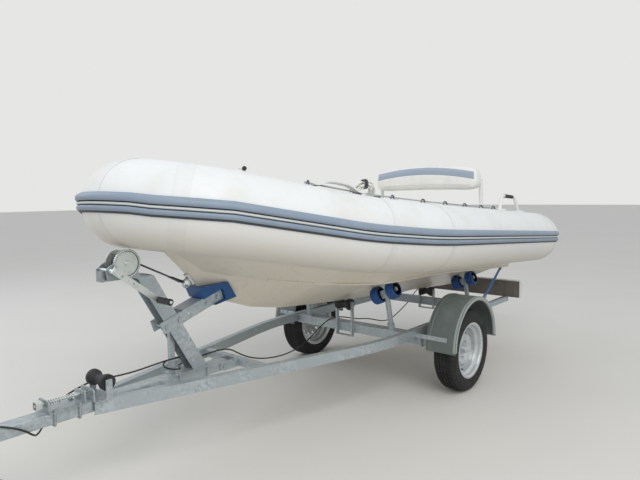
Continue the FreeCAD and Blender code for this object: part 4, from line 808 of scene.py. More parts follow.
def turned_on(name, profile, steps, at, direction, body, slot, finish, **more):
    """A turned piece, stood on a point along a direction and handed over."""
    made = turned_piece(name, profile, steps)
    along(made, at, direction)
    return hand_over(made, body, slot, finish, **more)


def block(name, low, high, bevel=1.5):
    """A box between two corners in millimetres, with bevelled edges."""
    bpy.ops.object.select_all(action="DESELECT")
    middle = [(a + b) / 2 * MM for a, b in zip(low, high)]
    bpy.ops.mesh.primitive_cube_add(size=1, location=middle)
    made = bpy.context.object
    made.name = name
    made.scale = [(b - a) * MM for a, b in zip(low, high)]
    fix_place(made)
    modify(made, "BEVEL", width=bevel * MM, segments=2, limit_method="ANGLE")
    smooth(made, 40)
    return made


def joined(name, pieces):
    bpy.ops.object.select_all(action="DESELECT")
    for piece in pieces:
        piece.select_set(True)
    bpy.context.view_layer.objects.active = pieces[0]
    bpy.ops.object.join()
    pieces[0].name = name
    return pieces[0]


def other_side(obj, name):
    """The same piece mirrored to starboard."""
    made = new_object(name, obj.data.copy())
    made.matrix_world = Matrix.Diagonal((1, -1, 1, 1)) @ obj.matrix_world
    fix_place(made)
    face_outwards(made)
    return made


# %% [markdown]
# Webbing is woven from thick yarns, so it shows fine ribs across and a darker or lighter mark now and
# then. The pattern is drawn in the strap's own metres: along it is U, across it is V.

# %% Webbing


def webbing(name, colour, marked, mark_pitch=0.0):
    """Woven strap; a pitch in metres adds a dashed line along its middle."""
    material, tree, shader, where = start_material(name, colour, 0.72, 0.0, Sheen_Weight=0.15)
    flat = add_node(tree, "ShaderNodeTexCoord")
    u, v, _ = add_node(tree, "ShaderNodeSeparateXYZ", {"Vector": flat.outputs["UV"]}).outputs
    spread = clouds(tree, where, 14, 4.0, 0.48, 0.75, 0.5)
    tones = add_node(tree, "ShaderNodeMix", {0: spread, 6: colour, 7: marked}, data_type="RGBA")
    if mark_pitch:
        saw = add_node(tree, "ShaderNodeMath", {0: u, 1: mark_pitch}, operation="FLOORED_MODULO")
        dash = add_node(tree, "ShaderNodeMath", {0: saw, 1: mark_pitch * 0.45}, operation="LESS_THAN")
        far = add_node(tree, "ShaderNodeMath", {0: v}, operation="ABSOLUTE")
        band = add_node(tree, "ShaderNodeMath", {0: far, 1: 0.005}, operation="LESS_THAN")
        both = add_node(tree, "ShaderNodeMath", {0: dash, 1: band}, operation="MULTIPLY")
        tones = add_node(tree, "ShaderNodeMix", {0: both, 6: tones, 7: "#10151c"}, data_type="RGBA")
    weave = []
    for source, pitch in ((u, 0.0022), (v, 0.0016)):
        phase = add_node(tree, "ShaderNodeMath", {0: source, 1: 2 * math.pi / pitch}, operation="MULTIPLY")
        weave.append(add_node(tree, "ShaderNodeMath", {0: phase}, operation="SINE"))
    height = add_node(tree, "ShaderNodeMath", {0: weave[0], 1: weave[1]}, operation="ADD")
    relief = add_node(tree, "ShaderNodeBump", {"Height": height, "Strength": 0.5, "Distance": 0.3 * MM})
    plug_in(tree, shader, {"Base Color": tones, "Normal": relief})
    return material


WEB_BLUE = webbing("Blue polyester webbing", "#175a9e", "#3f82bd", 0.024)
WEB_BLACK = webbing("Black polyester webbing", "#17181b", "#3b3d42", 0.03)
WEB_GREY = webbing("Dark grey polyester webbing", "#36383c", "#56585c")
ROPE_WHITE = moulded("Braided polyester rope", "#e6e4dd", "#c9c4b8", 0.75, 18, 1.2, 0.25, 0.6)
LINE_GREY = moulded("Grey moulded loop", "#54575b", "#6d7073", 0.7, 14, 1.2, 0.2, 0.6)
LINE_PALE = moulded("Pale grey polyester line", "#a2a5a7", "#c6c7c6", 0.75, 14, 1.2, 0.2, 0.6)

# %% [markdown]
# The lighting lead leaves a gland on the light board, sags under the axle and the cross members, takes one and a
# quarter loose turns round the winch post's stay and ends in its round plug on the drawbar. The route below is the
# CAD route. It crosses the tilt hinge, so it is left on no body.

# %% Lighting lead
LEAD = [
    (-1.932, -0.26, 0.47), (-1.84, -0.26, 0.467), (-1.732, -0.255, 0.45), (-1.625, -0.245, 0.41),
    (-1.528, -0.23, 0.366), (-1.428, -0.213, 0.341), (-1.315, -0.19, 0.32), (-1.205, -0.168, 0.303),
    (-1.095, -0.142, 0.297), (-0.988, -0.117, 0.303), (-0.885, -0.095, 0.322), (-0.785, -0.075, 0.35),
    (-0.685, -0.058, 0.38), (-0.59, -0.046, 0.402), (-0.505, -0.044, 0.414), (-0.425, -0.058, 0.436),
    (-0.35, -0.088, 0.454), (-0.27, -0.118, 0.45), (-0.19, -0.122, 0.424), (-0.105, -0.11, 0.391),
    (-0.01, -0.09, 0.36), (0.09, -0.072, 0.339), (0.195, -0.058, 0.328), (0.3, -0.05, 0.327),
    (0.4, -0.046, 0.337), (0.495, -0.046, 0.356), (0.58, -0.05, 0.386), (0.648, -0.055, 0.424),
    (0.702, -0.058, 0.46), (0.775, -0.061, 0.472), (0.86, -0.062, 0.469), (0.95, -0.065, 0.461),
    (1.028, -0.064, 0.458), (1.07, -0.034, 0.459), (1.086, 0, 0.462), (1.099, 0.031, 0.466),
    (1.13, 0.044, 0.471), (1.161, 0.031, 0.478), (1.174, 0, 0.485), (1.161, -0.031, 0.492),
    (1.13, -0.044, 0.5), (1.099, -0.031, 0.508), (1.086, 0, 0.516), (1.099, 0.031, 0.523),
    (1.13, 0.044, 0.529), (1.176, 0.043, 0.531), (1.25, 0.03, 0.522), (1.335, 0.012, 0.509),
    (1.4, -0.02, 0.499), (1.446, -0.064, 0.489), (1.48, -0.108, 0.479), (1.538, -0.12, 0.464),
    (1.618, -0.116, 0.44), (1.68, -0.096, 0.408), (1.724, -0.065, 0.379), (1.76, -0.024, 0.359),
    (1.795, 0.018, 0.359), (1.822, 0.052, 0.381), (1.854, 0.06, 0.412), (1.904, 0.052, 0.44),
    (1.955, 0.026, 0.455), (1.997, 0.004, 0.459), (2.035, 0, 0.4588),
]
lead_line = line_of(LEAD)
lead = tube_along("lighting_lead", LEAD, 0.004)
hand_over_bent(lead, SHEATH_BLACK, ["lighting_cable"])

PLUG_AT = from_axle(2735.5, 0, 458.8)
plug = turned_on("lead_plug", [
    (0, 0), (6.5, 0), (7.5, 4), (7.5, 7), (8.6, 7), (8.6, 11), (8.0, 11), (8.0, 14), (9.4, 14), (9.4, 18),
    (8.8, 18), (8.8, 21), (10.4, 24), (15.6, 28), (16.4, 36), (19.6, 39), (20, 41), (20, 45), (18.6, 46),
    (20, 47), (20, 51), (18.6, 52), (20, 53), (20, 57), (18.6, 58), (20, 59), (20, 69), (19, 70),
    (16.5, 70), (16.5, 66), (0, 66)],
    64, PLUG_AT, (1, 0, 0), "drawbar", "plug_plastic", BLACK_PLASTIC, stands_for=["cable_plug"])
pins = []
for turn in range(7):
    pin = turned_piece("pin", [(0, 66), (1.6, 66), (1.6, 68.6), (1.2, 69.2), (0, 69.2)], 12)
    around = math.radians(turn * 60)
    reach = 0.0 if turn == 6 else 10 * MM
    pin.location = PLUG_AT + Vector((0, math.cos(around), math.sin(around))) * reach
    pin.rotation_euler = (0, math.pi / 2, 0)
    pins.append(pin)
contacts = hand_over(joined("lead_plug_contacts", pins), "drawbar", "zinc_plated_steel", ZINC)
turned_on("lead_strain_relief", [
    (4.1, 0), (8.4, 0), (8.2, 6), (7.4, 6.6), (7.4, 9), (7.9, 9.6), (7.1, 16), (6.4, 16.6), (6.4, 19),
    (6.8, 19.6), (6.1, 26), (5.5, 26.6), (5.5, 29), (5.8, 29.6), (5.2, 38), (4.1, 40)],
    32, LEAD[0], Vector(LEAD[1]) - Vector(LEAD[0]), ROOT, "cable_black", BLACK_RUBBER)

# %% [markdown]
# A hank of 12 mm braided rope lies on the port tube. Its five turns step round a hexagon in the hank's
# section, so that no turn lies in another, and a short dark strap ties them. The braid itself is too fine
# to model here and is left to the grain of the finish.

# %% Rope hank
HANK_AT = Vector((0.1980, 0.5065, 1.3290))
HANK_AXIS = Vector((-0.2280, -0.7679, 0.5987)).normalized()
HANK_TURNS, PER_TURN, TIE_TURN = 5, 16, 1.75
hank_right = HANK_AXIS.cross(UP).normalized()
hank_up = hank_right.cross(HANK_AXIS).normalized()


def hank_place(turns):
    """Place on the hank after this many turns."""
    around = 2 * math.pi * turns + 2.2
    step = math.radians(60) * turns
    wave = 1.5 * math.sin(2 * around + 0.6)
    lift = 5 * (1 + math.sin(around))
    radius = (62 + wave + lift + 19 * math.cos(step)) * MM
    rise = (15 * math.sin(step) + 1.2 * math.sin(3 * around)) * MM
    return HANK_AT + (hank_right * math.cos(around) + hank_up * math.sin(around)) * radius + HANK_AXIS * rise


HANK = [hank_place(step / PER_TURN) for step in range(HANK_TURNS * PER_TURN + 1)]
hank_line = line_of(HANK)
hank = tube_along("rope_hank", HANK, 0.006)
hand_over(hank, ROOT, "rope_grey", ROPE_WHITE, stands_for=["rope_coil"])
tie_out = (hank_right * math.cos(TIE_TURN) + hank_up * math.sin(TIE_TURN)).normalized()
tie_middle = HANK_AT + tie_out * 0.0718
tie_side = tie_out.cross(HANK_AXIS).normalized()
tie_ring = []
for step in range(33):
    around = 2 * math.pi * step / 32
    grow = step * 0.04
    tie_ring.append(tie_middle + tie_out * math.cos(around) * (27.6 + grow) * MM
                    + HANK_AXIS * math.sin(around) * (23.6 + grow) * MM)
tie = strap_along("hank_tie", tie_ring, tie_side, 0.022, 0.0018)
hand_over(tie, ROOT, "strap_black", WEB_GREY)

# %% [markdown]
# The grab line runs along the top of each tube through moulded patches that are glued on. A patch is a
# turned disc whose rim is bent down to lie on the round tube; its loop is a small moulded arch. Between
# two patches the line lies over a little to the outside.

# %% Grab lines
STRAIGHT = ((-0.060, -0.123, 0.991), (0.998, 0.019, 0.062))
PATCHES = [
    # place on the skin, outward normal, direction along the tube; the aft ones share the last two
    ((-1.2745, 0.6534, 1.2026), *STRAIGHT),
    ((-1.0453, 0.6578, 1.2169), *STRAIGHT),
    ((-0.7725, 0.6631, 1.2339), *STRAIGHT),
    ((-0.4814, 0.6687, 1.2521), *STRAIGHT),
    ((-0.1943, 0.6721, 1.2707), (-0.079, -0.118, 0.990), (0.996, -0.045, 0.074)),
    ((0.0838, 0.6360, 1.2964), (-0.124, -0.098, 0.987), (0.973, -0.207, 0.101)),
    ((0.3541, 0.5732, 1.3287), (-0.177, -0.071, 0.982), (0.941, -0.303, 0.148)),
    ((0.6190, 0.4769, 1.3766), (-0.201, -0.055, 0.978), (0.922, -0.348, 0.170)),
]
# The port line's own points: one before, one at and one past each patch, and two between patches, where it leans
# out
GRAB_LINE = [
    (-1.295, 0.651, 1.218), (-1.275, 0.652, 1.217), (-1.261, 0.653, 1.217), (-1.208, 0.662, 1.219),
    (-1.114, 0.665, 1.225), (-1.060, 0.657, 1.230), (-1.046, 0.656, 1.231), (-1.029, 0.657, 1.232),
    (-0.966, 0.667, 1.235), (-0.853, 0.670, 1.241), (-0.790, 0.662, 1.247), (-0.773, 0.661, 1.248),
    (-0.755, 0.662, 1.249), (-0.688, 0.671, 1.251), (-0.571, 0.677, 1.259), (-0.500, 0.667, 1.265),
    (-0.482, 0.667, 1.267), (-0.465, 0.668, 1.267), (-0.398, 0.679, 1.270), (-0.280, 0.680, 1.277),
    (-0.213, 0.671, 1.284), (-0.195, 0.670, 1.285), (-0.178, 0.669, 1.286), (-0.114, 0.670, 1.291),
    (-0.002, 0.656, 1.301), (0.065, 0.637, 1.309), (0.082, 0.635, 1.311), (0.098, 0.632, 1.312),
    (0.162, 0.626, 1.318), (0.270, 0.601, 1.331), (0.335, 0.576, 1.341), (0.352, 0.572, 1.343),
    (0.368, 0.567, 1.346), (0.431, 0.553, 1.355), (0.537, 0.515, 1.374), (0.600, 0.482, 1.388),
    (0.616, 0.476, 1.391), (0.634, 0.469, 1.394)]


def on_skin(obj, place, normal, direction):
    """Bends a piece made lying flat at the origin round the tube and puts it there, its X along the tube."""
    up, run = Vector(normal).normalized(), Vector(direction).normalized()
    side = up.cross(run).normalized()
    for vertex in obj.data.vertices:
        x, y, z = vertex.co
        angle = y / TUBE_R
        reach = TUBE_R + z
        vertex.co = (Vector(place) - up * TUBE_R + run * x + side * math.sin(angle) * reach
                     + up * math.cos(angle) * reach)
    obj.data.update()
    return obj


for side_name, flip in SIDES:
    pads, loops = [], []
    for place, normal, direction in PATCHES:
        place, normal, direction = on_side(flip, place, normal, direction)
        pad = turned_piece("patch", [
            (0, 4.4), (15, 4.4), (17, 3.6), (28, 3.0), (34, 2.2), (36.5, 0.8), (37, -0.6)], 40)
        pads.append(on_skin(pad, place, normal, direction))
        side = normal.cross(direction).normalized()
        arch = [place + side * a * MM + normal * h * MM
                for a, h in ((-12, 2), (-12.5, 12), (-9, 22), (0, 26), (9, 22), (12.5, 12), (12, 2))]
        loops.append(tube_along("loop", arch, 0.0042, sides=8))
    hand_over(joined("grab_line_patches_" + side_name, pads), ROOT, "tube_fabric", TAPE_GREY)
    hand_over(joined("grab_line_loops_" + side_name, loops), ROOT, "black_rubber", LINE_GREY)
    route = on_side(flip, *GRAB_LINE)
    line = line_of(route)
    rope = tube_along("grab_line_" + side_name, route, 0.004, sides=8)
    hand_over(rope, ROOT, "rope_grey", LINE_PALE, stands_for=["grab_lines"] if flip > 0 else ())
    print("grab line", side_name, round(run_length(line), 3), "m")

# %% [markdown]
# Webbing from the winch drum pulls the bow eye. It ends in a forged snap hook, and its turns lie wound on the
# drum. The strap and its stitched loop cross the tilt hinge and are left on no body; the hook at the aft end stays
# with the boat, and the wound turns at the fore end go with the drawbar.

# %% Winch strap, hook and wound turns
WINCH_WEB = 0.044
strap_low, strap_high = Vector((1.052, 0, 0.897)), Vector((1.370, 0, 1.054))
pull = (strap_high - strap_low).normalized()
line = [strap_low.lerp(strap_high, k / 24) - UP * 0.0012 * math.sin(math.pi * k / 24) for k in range(25)]
strap = strap_along("winch_webbing", line, ACROSS, WINCH_WEB, 0.0028)
hand_over_bent(strap, WEB_BLACK, ["winch_strap"])

DRUM_AT = from_axle(2080, 0, 1029)
turned_on("winch_wound_turns", [
    (25, -22), (27, -22.6), (28.5, -21.8), (30, -22.6), (31.5, -21.9), (33, -22.5), (34.5, -21.9), (36, -22.3),
    (37.2, -21), (37.5, 0), (37.2, 21), (36, 22.3), (34.5, 21.9), (33, 22.5), (31.5, 21.8), (30, 22.6),
    (28.5, 21.9), (27, 22.5), (25, 22)], 56, DRUM_AT, ACROSS, "drawbar", "strap_black", BLACK_RUBBER)

eye = from_axle(1727, 0, 886)
shank = strap_low + pull * 0.006
hook_points = [shank, strap_low - pull * 0.006 + UP * 0.002]
hook_points += [eye + Vector((x, 0, z)) for x, z in ((-0.002, 0.030), (-0.022, 0.026), (-0.030, 0.004),
                                                     (-0.022, -0.014), (-0.006, -0.014), (0.006, -0.006))]
bend = tube_along("hook_bend", hook_points, 0.005)
bar = tube_along("hook_bar", [shank + y * ACROSS for y in (-0.026, -0.012, 0.012, 0.026)], 0.004)
hand_over(joined("winch_hook", [bend, bar]), ROOT, "zinc_plated_steel", ZINC_DULL)
fold = [shank + pull * x * MM + UP * z * MM
        for x, z in ((70, 2.6), (40, 3.2), (12, 5), (0, 6.4), (-6, 4), (-7, 0), (-5, -4), (0, -6), (12, -5),
                     (40, -3.2), (70, -2.6))]
loop = strap_along("winch_strap_loop", line_of(fold), ACROSS, WINCH_WEB, 0.0024)
hand_over_bent(loop, WEB_BLACK)
# Dark ticks between the gear's teeth and a dark ring in the step of its dish are painted shade
ticks = []
for k in range(48):
    tick = block("tick", (60.8, -0.7, 0), (66.4, 0.7, 0.3), 0.1)
    tick.rotation_euler = (0, 0, 2 * math.pi * (k + 0.5) / 48)
    ticks.append(tick)
groove = [(54.6, -2.9), (57.2, -2.9), (57.2, 0.25), (55.9, 0.25), (55.9, -2.6), (54.6, -2.9)]
ticks.append(turned_piece("groove", groove, 72))
painted_gap_shade = joined("winch_gear_painted_gap_shade", ticks)
fix_place(painted_gap_shade)
along(painted_gap_shade, DRUM_AT + 55 * MM * ACROSS, ACROSS)
hand_over(painted_gap_shade, "drawbar", "black_rubber", BLACK_RUBBER)
print("winch strap", round((strap_high - strap_low).length, 3), "m, wound turns and hook")

# %% [markdown]
# A ratchet strap holds each side of the transom to the rail. Each is modelled along its own axis first, the
# webbing with its stitched loops and the ratchet with cheeks, handle and drum, and is then laid on the
# line between the rail's hook plate and the ring on the transom. Starboard's is the mirror image.

# %% Tie-down straps
low_end = from_axle(-612, 525, 423)
high_end = from_axle(-1261, 450, 700)
run = high_end - low_end
lay = (Matrix.Translation(low_end) @ Matrix.Rotation(math.atan2(run.y, run.x), 4, "Z")
       @ Matrix.Rotation(-math.asin(run.z / run.length), 4, "Y"))
reach = run.length * 1000


def strap_line(points):
    return [Vector(p) * MM for p in points]


TIE_WEB = {"side": UP, "width": 0.035, "thickness": 0.002}
sagging = strap_line([(x, 0.5 * math.sin(x / 50), 0) for x in range(0, int(reach) - 4, 12)])
web = [strap_along("tie_web", sagging, **TIE_WEB)]
for x0, turn in ((10, 1), (reach - 10, -1)):
    loop_points = [(x0 + turn * 55, 2.6, 0), (x0 + turn * 20, 3.6, 0), (x0, 4.8, 0), (x0 - turn * 7, 0, 0),
                   (x0, -4.8, 0), (x0 + turn * 20, -3.6, 0), (x0 + turn * 55, -2.6, 0)]
    web.append(strap_along("tie_loop", line_of(strap_line(loop_points)), **TIE_WEB))
webs = joined("tie_down_webbing_port", web)
DRUM_X = 150
ratchet = [block("cheek", (130, -7, s * 14 - 1.2), (205, 7.5, s * 14 + 1.2), 0.8) for s in (-1, 1)]
ratchet.append(block("base", (128, -8, -13), (210, -5.5, 13), 0.8))
ratchet.append(block("handle", (150, 5, -18), (218, 7.6, 18), 1.2))
for s in (-1, 1):
    ratchet.append(block("handle_side", (146, 0, s * 17 - 1), (218, 7.6, s * 17 + 1), 0.6))
drum = turned_piece("drum", [(0, -18.5), (5, -18.5), (5, 18.5), (0, 18.5)], 24)
roll = turned_piece("tie_down_roll_port", [(5, -12.2), (8.4, -12.2), (8.4, 12.2), (5, 12.2)], 32)
drum.location = roll.location = Vector((DRUM_X, 0, 0)) * MM
for wheel_at in (-15.5, 15.5):
    teeth = turned_piece("teeth", [(0, -1), (8.2, -1), (8.2, 1), (0, 1)], 11)
    teeth.location = Vector((DRUM_X, 0, wheel_at)) * MM
    ratchet.append(teeth)
ratchets = joined("tie_down_ratchet_port", ratchet + [drum])
for piece in (webs, ratchets, roll):
    piece.matrix_world = lay @ piece.matrix_world
plate = block("tie_down_plate_port", (-1334, 514, 407), (-1290, 518, 437), 1.2)
bolt = turned_piece("tie_bolt", [(0, 0), (9, 0), (9, 6), (8, 7), (0, 7)], 6)
along(bolt, from_axle(-624, 518, 416), ACROSS)
hook_line = [from_axle(*p) for p in ((-612, 517, 423), (-612, 523, 423), (-609, 529, 428), (-613, 529, 438),
                                     (-624, 525, 440), (-628, 523, 430))]
hook_wire = tube_along("tie_hook", hook_line, 0.0035, sides=10)
ring_at = from_axle(-1261, 450, 712)
ring_points = [ring_at + Vector((math.cos(a) * 0.003, math.cos(a) * 0.011, math.sin(a) * 0.014))
               for a in (k * math.pi / 6 for k in range(12))]
ring = tube_along("transom_ring", ring_points, 0.003, closed=True, sides=10)
pad_eye = block("transom_pad", (-1914, 436, 694), (-1909, 464, 730), 1.5)
steel = joined("tie_down_fittings_port", [plate, bolt, hook_wire])
shine = joined("transom_rings_port", [ring, pad_eye])
for obj, slot, finish in ((webs, "strap_blue", WEB_BLUE), (roll, "strap_blue", WEB_BLUE),
                          (ratchets, "zinc_plated_steel", ZINC_DULL), (steel, "galvanised_steel", GALVANISED),
                          (shine, "stainless", STAINLESS)):
    fix_place(obj)
    twin = other_side(obj, obj.name.replace("port", "starboard"))
    for piece in (obj, twin):
        hand_over(piece, ROOT, slot, finish)
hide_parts("tie_down_straps")

# %% [markdown]
# ## Wheels and mudguards
# A tyre's look is its tread. The profile of the real section, with its three main grooves, is turned in 216
# steps. Every third step of the shoulders and every sixth of the middle ribs is then sunk, and the blocks
# are swept back towards the shoulders so that the cross grooves run at a slant.

# %% Tyres
TYRE_R, WHEEL_Y = 275, 684
HALF_TREAD = [
    (172.6, -58), (188.2, -62.8), (188.4, -70.8), (200, -75.6), (206, -76.4), (207, -77.6), (211, -77.6),
    (212, -77), (228, -77.4), (240, -76.4), (246, -75), (247, -75.6), (250, -75), (251, -73.6), (256, -71.2),
    (263, -66.6), (268, -61), (271.5, -56.4), (273.6, -50), (274.6, -43), (275, -26), (269.4, -25),
    (269.4, -19), (275, -18), (275, -4), (269.2, -3.2)]
TREAD = HALF_TREAD + [(r, -y) for r, y in reversed(HALF_TREAD)] + HALF_TREAD[:1]
STEPS, SINK, SLANT = 216, 5 * MM, math.radians(4.2)
# Radii and distances from the tyre's middle in millimetres: where the tread begins, the floor of its main
# grooves, its outer edge, where the shoulder begins, and what the slant leaves alone
TREAD_FROM, GROOVE_FLOOR, TREAD_EDGE, SHOULDER, SLANT_FROM = 266.5, 269.3, 57, 27, 262


def tyre(side_name, flip):
    name = "tyre_tread_" + side_name
    made = turned_piece(name, TREAD, STEPS)
    edit(made, "DESELECT")
    bpy.ops.mesh.select_mode(type="FACE")
    leave_edit()
    sunk = 0
    for face in made.data.polygons:
        middle = face.center
        far = math.hypot(middle.x, middle.y) * 1000
        step = int(round((math.atan2(middle.y, middle.x) / (2 * math.pi) * STEPS - 0.5))) % STEPS
        height = abs(middle.z) * 1000
        chosen = step % 3 == 0 if height > SHOULDER else step % 6 == 1
        face.select = chosen and far > TREAD_FROM and height < TREAD_EDGE and abs(far - GROOVE_FLOOR) > 0.8
        sunk += face.select
    edit(made, "CHOSEN")
    bpy.ops.mesh.extrude_region_shrink_fatten(TRANSFORM_OT_shrink_fatten={"value": -SINK})
    leave_edit()
    for vertex in made.data.vertices:
        height = vertex.co.z * 1000
        if math.hypot(vertex.co.x, vertex.co.y) * 1000 > SLANT_FROM:
            slant = SLANT * min(1.0, max(0.0, (abs(height) - 4) / 52)) ** 1.2
            vertex.co = Matrix.Rotation(slant, 3, "Z") @ vertex.co
    made.data.update()
    smooth(made, 28)
    along(made, from_axle(0, flip * WHEEL_Y, TYRE_R), flip * ACROSS)
    hand_over(made, "wheel_" + side_name, "tyre_rubber", TYRE_RUBBER, stands_for=["tyre_" + side_name])
    print(name, sunk, "cross grooves,", len(made.data.polygons), "faces")


for side in SIDES:
    tyre(*side)

# %% [markdown]
# Each wheel has a rubber valve in its rim and a pressed cap over the bearing.

# %% Tyre valves and centre caps
for side_name, flip in SIDES:
    at = from_axle(0, flip * (WHEEL_Y + 8), TYRE_R) + Vector((math.cos(-1.1), 0, math.sin(-1.1))) * 0.136
    turned_on("valve_" + side_name, [
        (0, 0), (5.5, 0), (5, 5), (3.6, 8), (3.6, 22), (4.2, 22), (4.2, 33), (3, 34.5), (0, 34.5)],
        16, at, flip * ACROSS, "wheel_" + side_name, "black_rubber", BLACK_RUBBER)
    turned_on("centre_cap_" + side_name, [(23.4, 0), (23.4, 3), (22, 5.4), (17, 7.2), (8, 8.4), (0, 8.8)],
              40, from_axle(0, flip * (WHEEL_Y + 32), TYRE_R), flip * ACROSS,
              "wheel_" + side_name, "wheel_silver", WHEEL_SILVER)
print("valves and caps")

# %% [markdown]
# The mudguards have a rolled lip along the outer edge, painted a paler grey as the highlight that it catches, and
# a pressed bead along the inner one. Each is turned through half a circle only.

# %% Mudguard lips
LIP = [(287, 781), (286, 788), (289, 792.4), (296, 793.6), (306, 793.4), (311.4, 791), (313.2, 786),
       (313.2, 776), (312.0, 775), (287, 781)]
BEAD = [(312.0, 596), (313.8, 598), (315.2, 602), (315.2, 608), (313.8, 612), (312.0, 614)]
for side_name, flip in SIDES:
    for label, profile, finish in (("lip", LIP, LIP_PAINTED_HIGHLIGHT), ("bead", BEAD, GUARD_PLASTIC)):
        arc = turned_piece(f"mudguard_{label}_{side_name}", [(r, -y) for r, y in profile], 72, 180)
        for vertex in arc.data.vertices:
            x, y, z = vertex.co
            vertex.co = Vector((-x, -z * flip, abs(y)))
        face_outwards(arc)
        arc.location = from_axle(0, 0, 330)
        hand_over(arc, ROOT, "mudguard_plastic", finish)
print("mudguard lips and beads")

# %% [markdown]
# The wobble rollers are cups: a thin black sheet lines each recess as painted shade, and a black cap sits round
# its nut. The lining is turned once for each of the eight rollers, on the axis the joint gives.

# %% Roller recess shade linings and hub caps
CUP_PARTS = (
    # A thin black lining of the recess, which paints the shade inside it
    ("bush", 48, [(19.4, 21.2), (19.4, 20.6), (42.6, 20.6), (42.6, 58.5), (41.2, 60), (40.2, 59), (40.2, 24),
                  (38, 22), (19.4, 21.2)]),
    ("hub_cap", 40, [(10.4, 48.4), (10.4, 50.2), (18.4, 50.2), (19.2, 49), (19.2, 48.2)]),
)
shade_lining_and_cap_count = 0
for joint in frame["joints"]:
    if not joint["name"].startswith("roller_") or not joint["name"].endswith("_spin"):
        continue
    head, axis = Vector(joint["pos_m"]), Vector(joint["axis"]).normalized()
    if axis.y * head.y < 0:
        axis = -axis
    cups = []
    for start in (-94, 32):
        for name, steps, profile in CUP_PARTS:
            cup = turned_piece(name, profile, steps)
            along(cup, head + axis * start * MM, axis)
            cups.append(cup)
    shade_lining_and_cap_count += len(cups)
    shade_linings_and_caps = joined("roller_bushes_" + joint["child"][7:], cups)
    hand_over(shade_linings_and_caps, joint["child"], "black_rubber", BLACK_PLASTIC)
print(shade_lining_and_cap_count, "roller recess shade linings and hub caps")

# %% [markdown]
# ## Light board
# The board is a plain moulded beam with a white edging along its top and ends, and thin ribs on its front.
# Behind it are the lamp lenses and a blank plate between them.

# %% Board edging, lenses and blank plate
LENS_RED = moulded("Red lamp lens", "#8f1218", "#a8262b", 0.18, 40, 3, 0.05, 0.3, 0.6)
LENS_AMBER = moulded("Amber lamp lens", "#c8721a", "#d08a3a", 0.18, 40, 3, 0.05, 0.3, 0.6)
LENS_CLEAR = moulded("Clear lamp lens", "#c9cccb", "#dcdedd", 0.14, 40, 3, 0.05, 0.3, 0.6)
edge_top = [block("edge", (-1975.4, -618.4, 565.5), (-1948.6, 618.4, 575.6), 1.4)]
edge_top += [block("edge", (-1975.4, y - 5, 426), (-1948.6, y + 5, 570), 1.4) for y in (-613.6, 613.6)]
hand_over(joined("board_edging", edge_top), ROOT, "board_plastic", WHITE_PLASTIC)
ribs = [block("rib", (-1956.2, y - 1.5, 436), (-1952.4, y + 1.5, 562), 0.8) for y in range(-560, 600, 80)]
hand_over(joined("board_ribs", ribs), ROOT, "board_plastic", BOARD_PLASTIC)
for side_name, flip in SIDES:
    inner, outer = sorted((flip * 514, flip * 602))
    for name, low, high, finish in (("clear", 440, 476, LENS_CLEAR), ("amber", 478, 516, LENS_AMBER),
                                    ("red", 518, 558, LENS_RED)):
        lens = block(f"lens_{name}_{side_name}", (-2015.5, inner, low), (-2010.5, outer, high), 3)
        hand_over(lens, ROOT, "lamp_lens", finish)
plate = block("blank_plate", (-1977.6, -260, 444), (-1974.6, 260, 554), 1)
hand_over(plate, ROOT, "board_plastic", WHITE_PLASTIC)
print("board edging, ribs, lenses, blank plate")

# %% [markdown]
# ## Small fittings
# The crank has a black grip, each stern rail a black foam sleeve, and a moulded carry handle stands in a flat
# arch on each tube. At the bow a cloth patch carries a white fairlead with a black end.

# %% Crank grip, rail sleeves, carry handles, bow fairleads
GRIP_AT = from_axle(1950, 0, 846)
turned_on("crank_grip", [
    (12, 96), (15.4, 96.5), (16.4, 99), (15.2, 102), (14.8, 106), (15.6, 112), (15.2, 124), (15.9, 140),
    (15.4, 156), (14.9, 172), (15.4, 180), (16.2, 186), (15.6, 190), (12.5, 191.4), (8, 191.6)],
    40, GRIP_AT, ACROSS, "drawbar", "black_rubber", BLACK_PLASTIC)
turned_on("crank_grip_nut", [(0, 197), (5, 197), (7, 195.5), (7, 191.4), (0, 191.4)],
          24, GRIP_AT, ACROSS, "drawbar", "zinc_plated_steel", ZINC)

HANDLE_AT = ((0.3541, 0.5732, 1.3287), (-0.177, -0.071, 0.982), (0.922, -0.348, 0.170))
HANDLE_RISE = [(-0.03, 0.004), (-0.01, 0.004), (0.012, 0.008), (0.035, 0.022), (0.06, 0.031), (0.10, 0.034),
               (0.14, 0.034), (0.18, 0.031), (0.205, 0.022), (0.228, 0.008), (0.25, 0.003), (0.27, 0.002)]
for side_name, flip in SIDES:
    foot, up, run = on_side(flip, (-1.3910, 0.6547, 1.1957), *STRAIGHT)
    top = [foot + up * 0.118 - run * share for share in (0.112, 0.145, 0.20, 0.255, 0.288)]
    sleeve = tube_along("rail_sleeve_" + side_name, top, 0.0145, sides=16)
    hand_over(sleeve, ROOT, "black_rubber", BLACK_RUBBER)

    place, normal, run = on_side(flip, *HANDLE_AT)
    side = normal.cross(run).normalized()
    path = [place + run * a + normal * h + side * 0.034 * flip for a, h in HANDLE_RISE]
    lift = strap_along("carry_handle_" + side_name, line_of(path), side, 0.046, 0.007, 0.003)
    hand_over(lift, ROOT, "frame_white", WHITE_PLASTIC)

